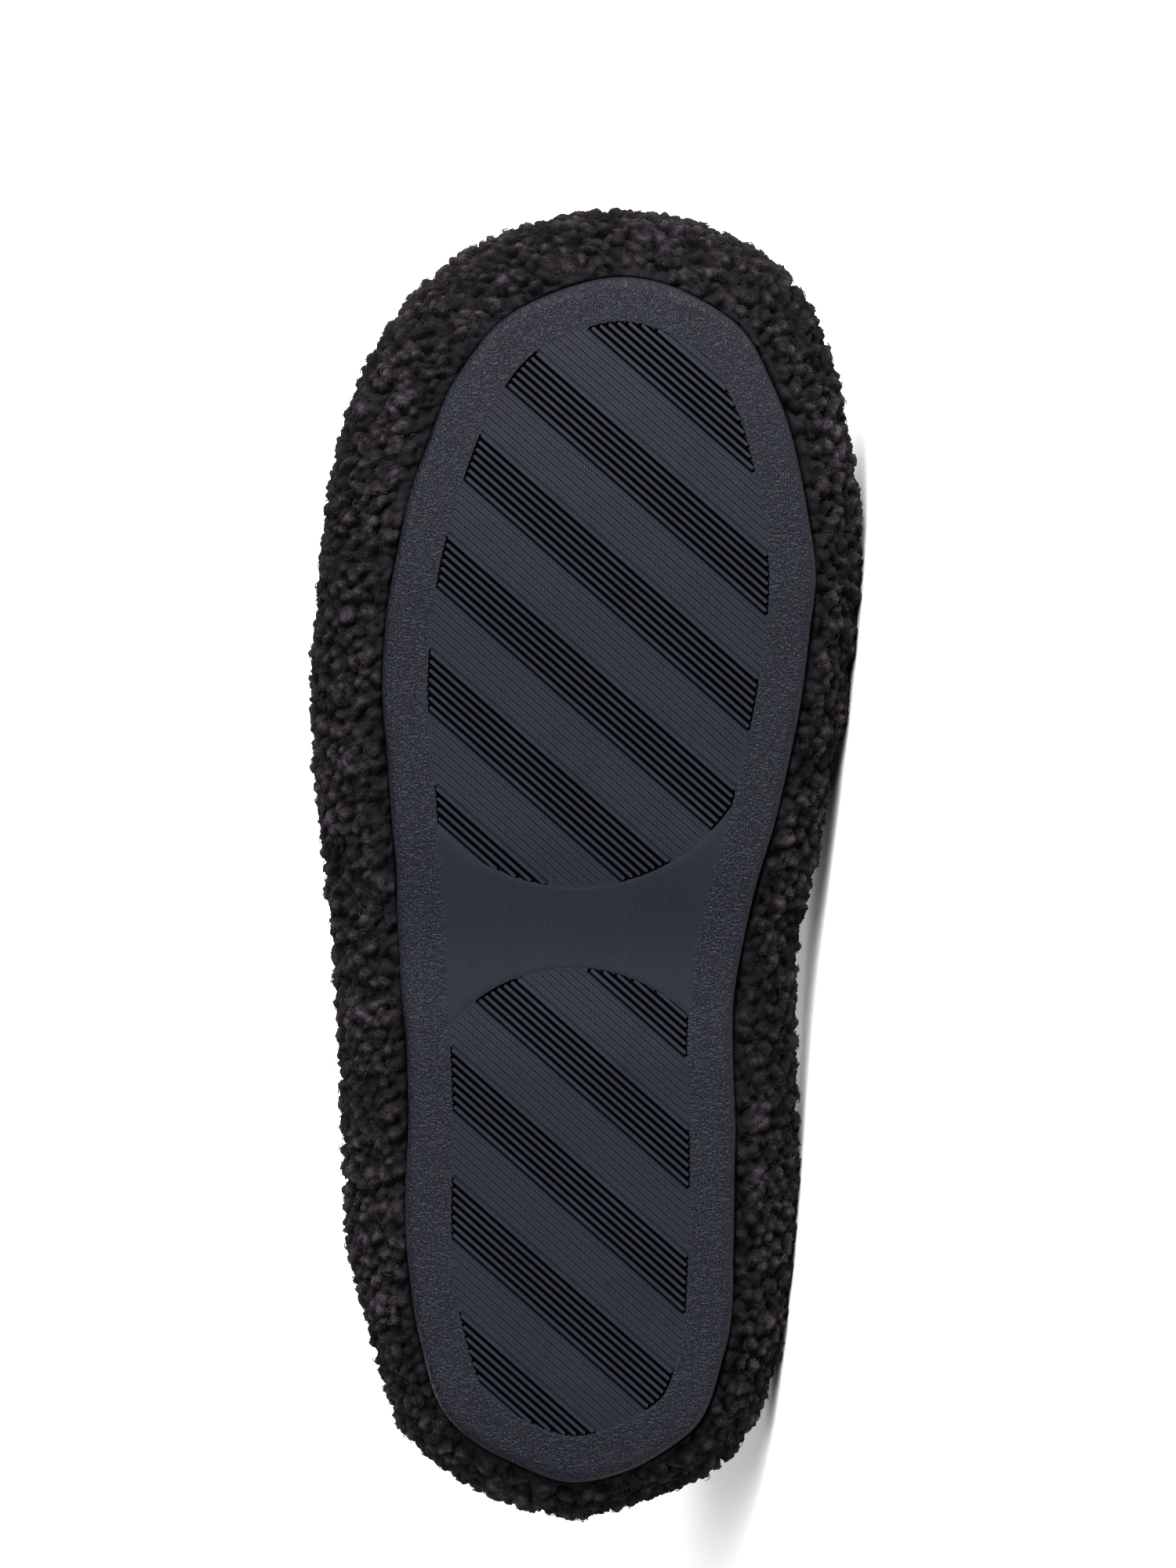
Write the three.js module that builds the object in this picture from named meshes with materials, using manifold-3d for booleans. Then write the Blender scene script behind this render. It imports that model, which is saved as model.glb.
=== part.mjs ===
// Clog slipper for the right foot: a ribbed rubber outsole, a hollow fleece upper and a padded insole.
//
// The shoe is shaped in its own axes: x towards the outer side of the foot, y from heel to toe,
// z up from the ground face of the sole. It is then laid on its inner side, so that the sole
// faces -Y and a little up, the toe points to +X and the outer side of the foot is on top.
// The fleece is pressed flat where it carries the shoe, at the ball and at the heel.

import * as THREE from 'three';
import { mergeVertices } from 'three/addons/utils/BufferGeometryUtils.js';
import Module from 'manifold-3d';

// Driving dimensions, in millimetres
const soleLength = 257;
const ballWidth = 91;
const soleThickness = 6;
const soleEdgeRadius = 2.5;
const toeSpring = 7;
const heelSpring = 1.2;
const archLift = 1.5;

const fleeceOverhang = 16;
const bulgeHeight = 20;
const throatHeight = 78;
const wallThickness = 6;
const marginWidth = 8;
const marginThickness = 2;

const insoleThickness = 8.5;
const insoleEdgeRadius = 3;
const insoleDish = 1;

const treadInset = 9.6;
const forefootPeriod = 20.9;
const heelPeriod = 20.52;
const ribsInPeriod = 14;
const ribsInBand = 7;
const grooveWidth = 0.8;
const grooveDepth = 1;
const ribAngle = 50.6;

const clearance = 0.3;
const flattening = 2;
const layTilt = 8;

// How finely the curved surfaces are divided
const stationsPerSide = 35;
const undersideSteps = 5;
const wallSteps = 7;
const rimSteps = 4;
const edgeSteps = 3;
const grooveSteps = 8;
const spineStart = 4;

const halfBall = ballWidth / 2;

// A row for each section of the foot, from the heel end to the toe end. "along" and "rimAlong"
// are shares of the sole's length, the sides shares of half the ball width, the overhangs shares
// of the fleece's overhang, "rimHeight" a share of the throat's height. "arch" bends the wall
// from the bulge up to the rim: 2 is a quarter round, 1 a straight slope.
const sections = [
  { along: 0, inner: 0, outer: 0, innerFleece: 0.62, outerFleece: 0.62,
    rimAlong: 0.012, innerRim: 0, outerRim: 0, rimHeight: 0.59, arch: 2 },
  { along: 0.045, inner: 0.556, outer: 0.56, innerFleece: 0.66, outerFleece: 0.6,
    rimAlong: 0.05, innerRim: 0.42, outerRim: 0.43, rimHeight: 0.58, arch: 2 },
  { along: 0.11, inner: 0.697, outer: 0.73, innerFleece: 0.81, outerFleece: 0.68,
    rimAlong: 0.11, innerRim: 0.615, outerRim: 0.64, rimHeight: 0.555, arch: 2 },
  { along: 0.19, inner: 0.721, outer: 0.807, innerFleece: 0.91, outerFleece: 0.86,
    rimAlong: 0.19, innerRim: 0.7, outerRim: 0.74, rimHeight: 0.53, arch: 2 },
  { along: 0.29, inner: 0.708, outer: 0.824, innerFleece: 0.93, outerFleece: 0.97,
    rimAlong: 0.28, innerRim: 0.735, outerRim: 0.78, rimHeight: 0.53, arch: 2 },
  { along: 0.37, inner: 0.68, outer: 0.857, innerFleece: 0.96, outerFleece: 0.97,
    rimAlong: 0.345, innerRim: 0.735, outerRim: 0.79, rimHeight: 0.56, arch: 2 },
  { along: 0.448, inner: 0.71, outer: 0.895, innerFleece: 0.91, outerFleece: 0.99,
    rimAlong: 0.4, innerRim: 0.715, outerRim: 0.78, rimHeight: 0.615, arch: 1.95 },
  { along: 0.552, inner: 0.84, outer: 0.956, innerFleece: 0.77, outerFleece: 1.06,
    rimAlong: 0.46, innerRim: 0.66, outerRim: 0.725, rimHeight: 0.71, arch: 1.85 },
  { along: 0.655, inner: 0.945, outer: 1.018, innerFleece: 0.7, outerFleece: 1.04,
    rimAlong: 0.512, innerRim: 0.56, outerRim: 0.625, rimHeight: 0.81, arch: 1.7 },
  { along: 0.76, inner: 0.982, outer: 0.978, innerFleece: 0.725, outerFleece: 1.1,
    rimAlong: 0.548, innerRim: 0.43, outerRim: 0.485, rimHeight: 0.9, arch: 1.5 },
  { along: 0.863, inner: 0.873, outer: 0.831, innerFleece: 0.92, outerFleece: 1.27,
    rimAlong: 0.568, innerRim: 0.275, outerRim: 0.31, rimHeight: 0.96, arch: 1.35 },
  { along: 0.915, inner: 0.763, outer: 0.708, innerFleece: 1, outerFleece: 1.28,
    rimAlong: 0.575, innerRim: 0.187, outerRim: 0.21, rimHeight: 0.98, arch: 1.3 },
  { along: 0.967, inner: 0.556, outer: 0.466, innerFleece: 0.97, outerFleece: 1.12,
    rimAlong: 0.579, innerRim: 0.092, outerRim: 0.105, rimHeight: 0.995, arch: 1.25 },
  { along: 1, inner: 0.05, outer: -0.05, innerFleece: 0.96, outerFleece: 0.96,
    rimAlong: 0.581, innerRim: 0, outerRim: 0, rimHeight: 1, arch: 1.2 },
];

// The two zones of the tread. Each has a round end beside the plain waist: its centre is given as
// shares, its radius as a share of the ball width. "firstRib" is how far the first rib's line
// passes from the heel end, as a share of the sole's length, and "bands" are counted from there.
const treadZones = {
  forefoot: {
    towardsToe: true, along: 0.648, side: 0.11, radius: 0.443,
    period: forefootPeriod, firstRib: -0.7626, bands: 6,
  },
  heel: {
    towardsToe: false, along: 0.291, side: 0.05, radius: 0.379,
    period: heelPeriod, firstRib: -0.3624, bands: 5,
  },
};

// Where along the sole it leaves the ground, as shares of its length
const springStart = 0.72;
const heelRise = 0.08;
const archStart = 0.34;
const archEnd = 0.54;

// Exponent of the fleece's round underside: 2 is an ellipse, more is fuller
const undersideFullness = 2.4;


const smooth = (share) => {
  const s = THREE.MathUtils.clamp(share, 0, 1);
  return s * s * (3 - 2 * s);
};

// Height of the sole's ground face above the ground at y
function lift(y) {
  const share = y / soleLength;
  const toe = THREE.MathUtils.clamp((share - springStart) / (1 - springStart), 0, 1);
  const heel = THREE.MathUtils.clamp((heelRise - share) / heelRise, 0, 1);
  const archMiddle = (archStart + archEnd) / 2;
  const arch = 1 - Math.abs(share - archMiddle) / (archEnd - archMiddle);
  return toeSpring * toe * toe + heelSpring * heel * heel + archLift * smooth(arch);
}


// The closed line of sections: up the inner side from the heel and back down the outer side
function sectionLoop() {
  const side = (row, sign, width, fleece, rim) => ({
    x: sign * row[width] * halfBall,
    y: row.along * soleLength,
    overhang: row[fleece] * fleeceOverhang,
    rimX: sign * row[rim] * halfBall,
    rimY: row.rimAlong * soleLength,
    rimZ: row.rimHeight * throatHeight,
    arch: row.arch,
  });
  const inner = sections.map((row) => side(row, -1, 'inner', 'innerFleece', 'innerRim'));
  const outer = sections.map((row) => side(row, 1, 'outer', 'outerFleece', 'outerRim'));
  return [...inner, ...outer.slice(1, -1).reverse()];
}

// Values at equally spaced stations around the loop, on a smooth closed curve through its rows.
// The heel end is station 0 and the toe end is the middle one.
function stationsAround(rows) {
  const count = rows.length;
  const toe = sections.length - 1;
  const chord = (i) => {
    const a = rows[i % count];
    const b = rows[(i + 1) % count];
    return Math.sqrt(Math.hypot(a.x - b.x, a.y - b.y));
  };
  const knots = [0];
  for (let i = 0; i < count; i++) knots.push(knots[i] + chord(i));
  const toeKnot = knots[toe];
  const endKnot = knots[count];
  const knotAt = (i) => knots[((i % count) + count) % count] + Math.floor(i / count) * endKnot;
  const slope = (key, i) => {
    const before = rows[(i - 1 + count) % count][key];
    const after = rows[(i + 1) % count][key];
    const here = rows[i % count][key];
    const back = knotAt(i) - knotAt(i - 1);
    const ahead = knotAt(i + 1) - knotAt(i);
    return ((here - before) / back * ahead + (after - here) / ahead * back) / (back + ahead);
  };
  const valueAt = (knot) => {
    let i = 0;
    while (i < count - 1 && knots[i + 1] <= knot) i++;
    const span = knots[i + 1] - knots[i];
    const t = (knot - knots[i]) / span;
    const value = {};
    for (const key of Object.keys(rows[0])) {
      const a = rows[i][key];
      const b = rows[(i + 1) % count][key];
      const fromA = slope(key, i) * span;
      const toB = slope(key, (i + 1) % count) * span;
      value[key] = a + t * fromA + t * t * (3 * (b - a) - 2 * fromA - toB)
        + t * t * t * (fromA + toB - 2 * (b - a));
    }
    return value;
  };
  const stations = [];
  for (let i = 0; i < 2 * stationsPerSide; i++) {
    const share = i / stationsPerSide;
    const knot = share <= 1 ? share * toeKnot : toeKnot + (share - 1) * (endKnot - toeKnot);
    stations.push(valueAt(knot));
  }
  stations.forEach((here, i) => {
    const before = stations.at(i - 1);
    const after = stations[(i + 1) % stations.length];
    const run = new THREE.Vector2(after.x - before.x, after.y - before.y).normalize();
    here.outX = -run.y;
    here.outY = run.x;
  });
  return stations;
}

const stations = stationsAround(sectionLoop());

// The sole's outline moved outwards by a distance, at one height over the sole's own lift
function outlineRing(outwards, height) {
  return stations.map((at) => new THREE.Vector3(
    at.x + at.outX * outwards,
    at.y + at.outY * outwards,
    height + lift(at.y),
  ));
}

// The line down the middle of the sole, between the stations that face each other
function spineRing(height) {
  return stations.map((at, i) => {
    const fromHeel = Math.min(i, 2 * stationsPerSide - i);
    const held = THREE.MathUtils.clamp(fromHeel, spineStart, stationsPerSide - spineStart);
    const one = stations[held];
    const other = stations[2 * stationsPerSide - held];
    const y = (one.y + other.y) / 2;
    return new THREE.Vector3((one.x + other.x) / 2, y, height + lift(y));
  });
}

// A ring between the outline and the spine that follows the sole's lift at every point
function innerRing(ring, share, height) {
  const spine = spineRing(0);
  return ring.map((point, i) => {
    const x = THREE.MathUtils.lerp(spine[i].x, point.x, share);
    const y = THREE.MathUtils.lerp(spine[i].y, point.y, share);
    return new THREE.Vector3(x, y, height + lift(y));
  });
}


// A closed surface through rings of equally many points. A tube closes on its first ring,
// other surfaces end at rings that have shrunk to a line.
function surfaceThrough(rings, closesOnItself) {
  const around = rings[0].length;
  const positions = rings.flatMap((ring) => ring.flatMap((point) => point.toArray()));
  const faces = [];
  const last = closesOnItself ? rings.length : rings.length - 1;
  for (let r = 0; r < last; r++) {
    const here = r * around;
    const next = ((r + 1) % rings.length) * around;
    for (let i = 0; i < around; i++) {
      const j = (i + 1) % around;
      faces.push(here + i, next + i, next + j, here + i, next + j, here + j);
    }
  }
  const geometry = new THREE.BufferGeometry();
  geometry.setAttribute('position', new THREE.Float32BufferAttribute(positions, 3));
  geometry.setIndex(faces);
  return outwardFacing(withoutFlatFaces(mergeVertices(geometry)));
}

// Triangles with two corners at one point are left out
function withoutFlatFaces(geometry) {
  const index = Array.from(geometry.index.array);
  const kept = [];
  for (let i = 0; i < index.length; i += 3) {
    const [a, b, c] = index.slice(i, i + 3);
    if (a !== b && b !== c && c !== a) kept.push(a, b, c);
  }
  geometry.setIndex(kept);
  return geometry;
}

// Turns every triangle over if the closed surface is inside out
function outwardFacing(geometry) {
  const place = geometry.attributes.position;
  const index = geometry.index.array;
  const corners = [new THREE.Vector3(), new THREE.Vector3(), new THREE.Vector3()];
  let volume = 0;
  for (let i = 0; i < index.length; i += 3) {
    corners.forEach((corner, c) => corner.fromBufferAttribute(place, index[i + c]));
    volume += corners[0].dot(corners[1].clone().cross(corners[2]));
  }
  if (volume < 0) geometry.setIndex(Array.from(index).reverse());
  return geometry;
}


const wasm = await Module();
wasm.setup();

function solidOf(geometry) {
  const plain = geometry.clone();
  plain.deleteAttribute('normal');
  plain.deleteAttribute('uv');
  const merged = plain.index ? plain : mergeVertices(plain);
  const mesh = new wasm.Mesh({
    numProp: 3,
    vertProperties: new Float32Array(merged.attributes.position.array),
    triVerts: new Uint32Array(merged.index.array),
  });
  mesh.merge();
  return new wasm.Manifold(mesh);
}

function geometryOf(solid) {
  const mesh = solid.getMesh();
  const geometry = new THREE.BufferGeometry();
  geometry.setAttribute('position', new THREE.BufferAttribute(mesh.vertProperties, 3));
  geometry.setIndex(new THREE.BufferAttribute(mesh.triVerts, 1));
  return geometry;
}

// An upright solid with the given outline, from one height to another
function uprightSolid(shape, low, high) {
  const geometry = new THREE.ExtrudeGeometry(shape, { depth: high - low, bevelEnabled: false });
  geometry.translate(0, 0, low);
  return solidOf(geometry);
}


// The sole's plate: a flat ground face with a rounded edge, an upright side and a flat top
function solePlate() {
  const rings = [];
  const face = outlineRing(-soleEdgeRadius, 0);
  rings.push(spineRing(0), innerRing(face, 0.5, 0), face);
  for (let i = 1; i <= edgeSteps; i++) {
    const turn = (i / edgeSteps) * Math.PI / 2;
    const outwards = soleEdgeRadius * (Math.sin(turn) - 1);
    rings.push(outlineRing(outwards, soleEdgeRadius * (1 - Math.cos(turn))));
  }
  const top = outlineRing(0, soleThickness);
  rings.push(top, innerRing(top, 0.5, soleThickness), spineRing(soleThickness));
  return solidOf(surfaceThrough(rings, false));
}

// The part of the sole that is ribbed: inside the plain border, ahead of or behind the waist
function zoneSolid(zone) {
  const field = new THREE.Shape(outlineRing(-treadInset, 0).map((p) => new THREE.Vector2(p.x, p.y)));
  const x = zone.side * halfBall;
  const y = zone.along * soleLength;
  const radius = zone.radius * ballWidth;
  const reach = zone.towardsToe ? soleLength : -soleLength;
  const half = new THREE.Shape();
  half.moveTo(x - radius, y);
  half.absarc(x, y, radius, Math.PI, 0, !zone.towardsToe);
  half.lineTo(ballWidth, y);
  half.lineTo(ballWidth, y + reach);
  half.lineTo(-ballWidth, y + reach);
  half.lineTo(-ballWidth, y);
  const low = -soleThickness;
  const high = toeSpring + soleThickness;
  return uprightSolid(field, low, high).intersect(uprightSolid(half, low, high));
}

// One groove across the sole at a distance from the heel end, equally deep wherever it goes
function grooveSolid(distance) {
  const turn = THREE.MathUtils.degToRad(ribAngle);
  const run = new THREE.Vector2(Math.sin(turn), Math.cos(turn));
  const across = new THREE.Vector2(run.y, -run.x);
  const middles = [];
  for (let i = 0; i <= grooveSteps; i++) {
    const reach = THREE.MathUtils.lerp(-ballWidth, ballWidth, i / grooveSteps);
    // The groove is centred where its line crosses the sole's long axis
    const crossing = new THREE.Vector2(0, distance / across.y);
    middles.push(crossing.addScaledVector(run, reach));
  }
  // Steps are kept only where the sole is off the ground, or next to such a place
  const isRaised = (i) => i >= 0 && i <= grooveSteps && lift(middles[i].y) > 0;
  const isNeeded = (i) => [i - 1, i, i + 1].some(isRaised);
  const rings = [];
  middles.forEach((middle, i) => {
    if (i > 0 && i < grooveSteps && !isNeeded(i)) return;
    const corner = (sideways, height) => new THREE.Vector3(
      middle.x + across.x * sideways,
      middle.y + across.y * sideways,
      height + lift(middle.y),
    );
    const half = grooveWidth / 2;
    rings.push([
      corner(-half, -soleThickness), corner(half, -soleThickness),
      corner(half, grooveDepth), corner(-half, grooveDepth),
    ]);
  });
  const shrunk = (ring) => {
    const centre = ring.reduce((sum, p) => sum.add(p), new THREE.Vector3()).divideScalar(ring.length);
    return ring.map(() => centre);
  };
  return solidOf(surfaceThrough([shrunk(rings[0]), ...rings, shrunk(rings.at(-1))], false));
}

function makeOutsole() {
  const cuts = Object.values(treadZones).map((zone) => {
    const pitch = zone.period / ribsInPeriod;
    const grooves = [];
    for (let band = 0; band < zone.bands; band++) {
      const firstInBand = zone.firstRib * soleLength + band * zone.period;
      for (let rib = 0; rib <= ribsInBand; rib++) {
        grooves.push(grooveSolid(firstInBand + (rib - 0.5) * pitch));
      }
    }
    return wasm.Manifold.union(grooves).intersect(zoneSolid(zone));
  });
  return geometryOf(solePlate().subtract(wasm.Manifold.union(cuts)));
}


// The upper's section at one station, as a closed line from the lasting margin's inner edge
// under the foot, out over the bulge, up to the rim, round it and back down inside
function upperSection(at) {
  const ground = lift(at.y);
  const marginBottom = ground + soleThickness + clearance;
  const marginTop = marginBottom + marginThickness;
  const bulge = ground + bulgeHeight;
  const power = 2 / undersideFullness;
  const place = (outwards, z) => new THREE.Vector3(
    at.x + at.outX * outwards,
    at.y + at.outY * outwards,
    z,
  );
  const rim = new THREE.Vector3(at.rimX, at.rimY, at.rimZ);

  // A fuller or rounder quarter from a point under the foot out to the bulge
  const underside = (start, end, low) => {
    const points = [];
    for (let i = 0; i < undersideSteps; i++) {
      const turn = (i / undersideSteps) * Math.PI / 2;
      const out = start + (end - start) * Math.sin(turn) ** power;
      points.push(place(out, low + (bulge - low) * (1 - Math.cos(turn) ** power)));
    }
    return points;
  };
  // From the bulge to the rim: upright at first, then over towards the foot
  const wall = (overhang, top) => {
    const foot = place(overhang, bulge);
    const points = [];
    for (let i = 0; i <= wallSteps; i++) {
      const inwards = (i / wallSteps) ** 2;
      const rise = Math.sqrt(1 - (1 - inwards) ** at.arch);
      const point = foot.clone().lerp(rim, inwards);
      points.push(point.setZ(bulge + (top - bulge) * rise));
    }
    return points;
  };
  const outside = wall(at.overhang, at.rimZ);
  const inside = wall(at.overhang - wallThickness, at.rimZ - wallThickness);

  // The rim is a half round of the wall's thickness that leans into the opening
  const inwards = rim.clone().sub(place(at.overhang, at.rimZ)).setZ(0).normalize();
  const radius = wallThickness / 2;
  const rimRound = [];
  for (let i = 1; i < rimSteps; i++) {
    const turn = (i / rimSteps) * Math.PI;
    const point = rim.clone().addScaledVector(inwards, radius * Math.sin(turn));
    rimRound.push(point.setZ(at.rimZ - radius + radius * Math.cos(turn)));
  }
  return [
    place(-marginWidth, marginBottom),
    ...underside(0, at.overhang, marginBottom),
    ...outside,
    ...rimRound,
    ...inside.reverse(),
    ...underside(-marginThickness, at.overhang - wallThickness, marginTop).reverse(),
    place(-marginWidth, marginTop),
  ];
}

function makeUpper() {
  const lines = stations.map(upperSection);
  const rings = lines[0].map((_, i) => lines.map((line) => line[i]));
  return surfaceThrough(rings, true);
}


// The insole lies on the lasting margin, with its middle let down onto the outsole
function makeInsole() {
  const edge = -(marginThickness + clearance);
  const low = soleThickness + clearance;
  const seat = low + marginThickness + clearance;
  const high = seat + insoleThickness;
  const inMargin = -(marginWidth + clearance);
  const bottom = outlineRing(inMargin - clearance, low + clearance);
  const rings = [
    spineRing(low + clearance),
    innerRing(bottom, 0.5, low + clearance),
    bottom,
    outlineRing(inMargin, seat),
    outlineRing(edge - insoleEdgeRadius / 2, seat),
    outlineRing(edge, seat + insoleEdgeRadius / 2),
  ];
  for (let i = 1; i <= edgeSteps; i++) {
    const turn = (i / edgeSteps) * Math.PI / 2;
    const outwards = edge + insoleEdgeRadius * (Math.cos(turn) - 1);
    rings.push(outlineRing(outwards, high + insoleEdgeRadius * (Math.sin(turn) - 1)));
  }
  const top = outlineRing(edge - insoleEdgeRadius, high);
  rings.push(innerRing(top, 0.6, high - insoleDish / 2), spineRing(high - insoleDish));
  return surfaceThrough(rings, false);
}


// Turns the shoe onto its inner side. The long way of the floor is found by turning the shoe
// until its ball and its heel reach equally low.
function layingTurn(geometry) {
  const axes = new THREE.Matrix4().makeBasis(
    new THREE.Vector3(0, 0, 1),
    new THREE.Vector3(1, 0, 0),
    new THREE.Vector3(0, 1, 0),
  );
  const tilt = new THREE.Matrix4().makeRotationX(-THREE.MathUtils.degToRad(layTilt));
  const turnBy = (yaw) => tilt.clone().multiply(new THREE.Matrix4().makeRotationY(yaw)).multiply(axes);
  const place = geometry.attributes.position;
  const point = new THREE.Vector3();
  const lowest = (turn, isHeel) => {
    const low = new THREE.Vector3(0, 0, Infinity);
    for (let i = 0; i < place.count; i++) {
      point.fromBufferAttribute(place, i);
      const behindMiddle = point.y < soleLength * archEnd;
      if (behindMiddle !== isHeel) continue;
      point.applyMatrix4(turn);
      if (point.z < low.z) low.copy(point);
    }
    return low;
  };
  const rounds = 12;
  let yaw = 0;
  for (let i = 0; i < rounds; i++) {
    const heel = lowest(turnBy(yaw), true);
    const ball = lowest(turnBy(yaw), false);
    yaw += Math.atan2(ball.z - heel.z, ball.x - heel.x);
  }
  return turnBy(yaw);
}

// Presses the fleece flat at the floor: what would lie under it is cut off
function cutAtFloor(geometry, turn, floor) {
  const size = 2 * soleLength;
  const slab = new THREE.BoxGeometry(size, size, size);
  slab.translate(0, 0, floor - size / 2);
  slab.applyMatrix4(turn.clone().invert());
  return geometryOf(solidOf(geometry).subtract(solidOf(slab)));
}


const rubber = new THREE.MeshStandardMaterial({ color: 0x34353d, roughness: 0.62, metalness: 0 });
const fleece = new THREE.MeshStandardMaterial({ color: 0x242128, roughness: 0.95, metalness: 0 });
const footbed = new THREE.MeshStandardMaterial({ color: 0x2c2930, roughness: 0.95, metalness: 0 });

function named(name, geometry, material) {
  const flat = geometry.toNonIndexed();
  flat.computeVertexNormals();
  const mesh = new THREE.Mesh(flat, material);
  mesh.name = name;
  return mesh;
}

const roundUpper = makeUpper();
const laying = layingTurn(roundUpper);
roundUpper.applyMatrix4(laying).computeBoundingBox();
const floorHeight = roundUpper.boundingBox.min.z + flattening;
roundUpper.applyMatrix4(laying.clone().invert());

const shoe = new THREE.Group();
shoe.add(named('outsole', makeOutsole(), rubber));
shoe.add(named('upper', cutAtFloor(roundUpper, laying, floorHeight), fleece));
shoe.add(named('insole', makeInsole(), footbed));
shoe.applyMatrix4(laying);

// The origin is under the middle of the shoe, on the floor
const group = new THREE.Group();
group.add(shoe);
group.updateMatrixWorld(true);
const extent = new THREE.Box3().setFromObject(shoe, true);
const middle = extent.getCenter(new THREE.Vector3());
shoe.position.sub(new THREE.Vector3(middle.x, middle.y, extent.min.z));

export default group;
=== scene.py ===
"""A clog slipper for the right foot, lying on its inner side with its ribbed sole in view.

Every surface is worked out in the shoe's own axes, in millimetres: x towards the outer side of
the foot, y from heel to toe, z up from the ground face of the sole. The frame says where the
shoe lies, and each piece is turned and moved there before it becomes a mesh in metres.
"""

import bmesh
import bpy
import numpy as np
from mathutils import Matrix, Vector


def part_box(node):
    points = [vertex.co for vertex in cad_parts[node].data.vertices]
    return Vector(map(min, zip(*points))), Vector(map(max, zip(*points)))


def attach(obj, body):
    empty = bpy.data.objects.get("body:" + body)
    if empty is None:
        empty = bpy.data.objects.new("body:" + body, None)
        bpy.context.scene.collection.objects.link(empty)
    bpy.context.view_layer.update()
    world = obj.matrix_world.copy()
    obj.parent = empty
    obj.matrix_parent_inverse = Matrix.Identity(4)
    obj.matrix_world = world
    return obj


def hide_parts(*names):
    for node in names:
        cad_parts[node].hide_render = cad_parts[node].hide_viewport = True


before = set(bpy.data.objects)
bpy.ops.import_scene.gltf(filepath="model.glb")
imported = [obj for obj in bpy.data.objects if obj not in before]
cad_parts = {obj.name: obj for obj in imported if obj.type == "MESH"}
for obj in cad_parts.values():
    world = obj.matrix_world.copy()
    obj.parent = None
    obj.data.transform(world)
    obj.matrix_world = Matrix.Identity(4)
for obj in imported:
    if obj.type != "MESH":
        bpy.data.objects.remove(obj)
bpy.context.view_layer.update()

MM = 0.001

# Sizes of the shoe, in millimetres
SOLE_LENGTH = 257.0
BALL_WIDTH = 91.0
SOLE_THICKNESS = 6.0
SOLE_EDGE_RADIUS = 2.0
TOE_SPRING = 7.0
HEEL_SPRING = 1.2
ARCH_LIFT = 1.5
FLEECE_OVERHANG = 16.0
BULGE_HEIGHT = 20.0
THROAT_HEIGHT = 78.0
WALL_THICKNESS = 6.0
MARGIN_WIDTH = 8.0
MARGIN_THICKNESS = 2.0
INSOLE_THICKNESS = 8.5
INSOLE_EDGE_RADIUS = 3.0
CLEARANCE = 0.3
LAY_TILT = np.radians(8.0)

# Where the sole leaves the ground, as shares of its length
SPRING_START = 0.72
HEEL_RISE = 0.08
ARCH_START = 0.34
ARCH_END = 0.54

# The tread: bands of slanting ribs with a band of fine lines after each
TREAD_INSET = 9.6
PLATE_LAP = 0.05
EDGE_WAVER = 0.9
RIBS_IN_PERIOD = 14
RIBS_IN_BAND = 7
RIB_ANGLE = np.radians(50.6)
RIB_HALF_WIDTH = 0.37
OUTER_RIB_HALF_WIDTH = 0.41
GROOVE_DEPTH = 1.0
OUTLINE_GROOVE_WIDTH = 0.55
OUTLINE_GROOVE_DEPTH = 0.4
LINE_DEPTH = 0.14
LINE_WIDTH = 0.48
RIB_END_GAP = 0.42
STRIATION_PITCH = 0.35
WAIST_ALONG = 0.457

# The two zones of the tread. Each has a round end at the waist, and bands that repeat across it.
# "first rib" is how far from the heel end the line of one band's first rib passes.
FOREFOOT = {
    "towards toe": True, "centre": (0.11 * BALL_WIDTH / 2, 0.648 * SOLE_LENGTH),
    "radius": 0.443 * BALL_WIDTH, "period": 20.9, "first rib": -0.7626 * SOLE_LENGTH,
}
HEEL = {
    "towards toe": False, "centre": (0.05 * BALL_WIDTH / 2, 0.291 * SOLE_LENGTH),
    "radius": 0.379 * BALL_WIDTH, "period": 20.52, "first rib": -0.3624 * SOLE_LENGTH,
}

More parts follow.
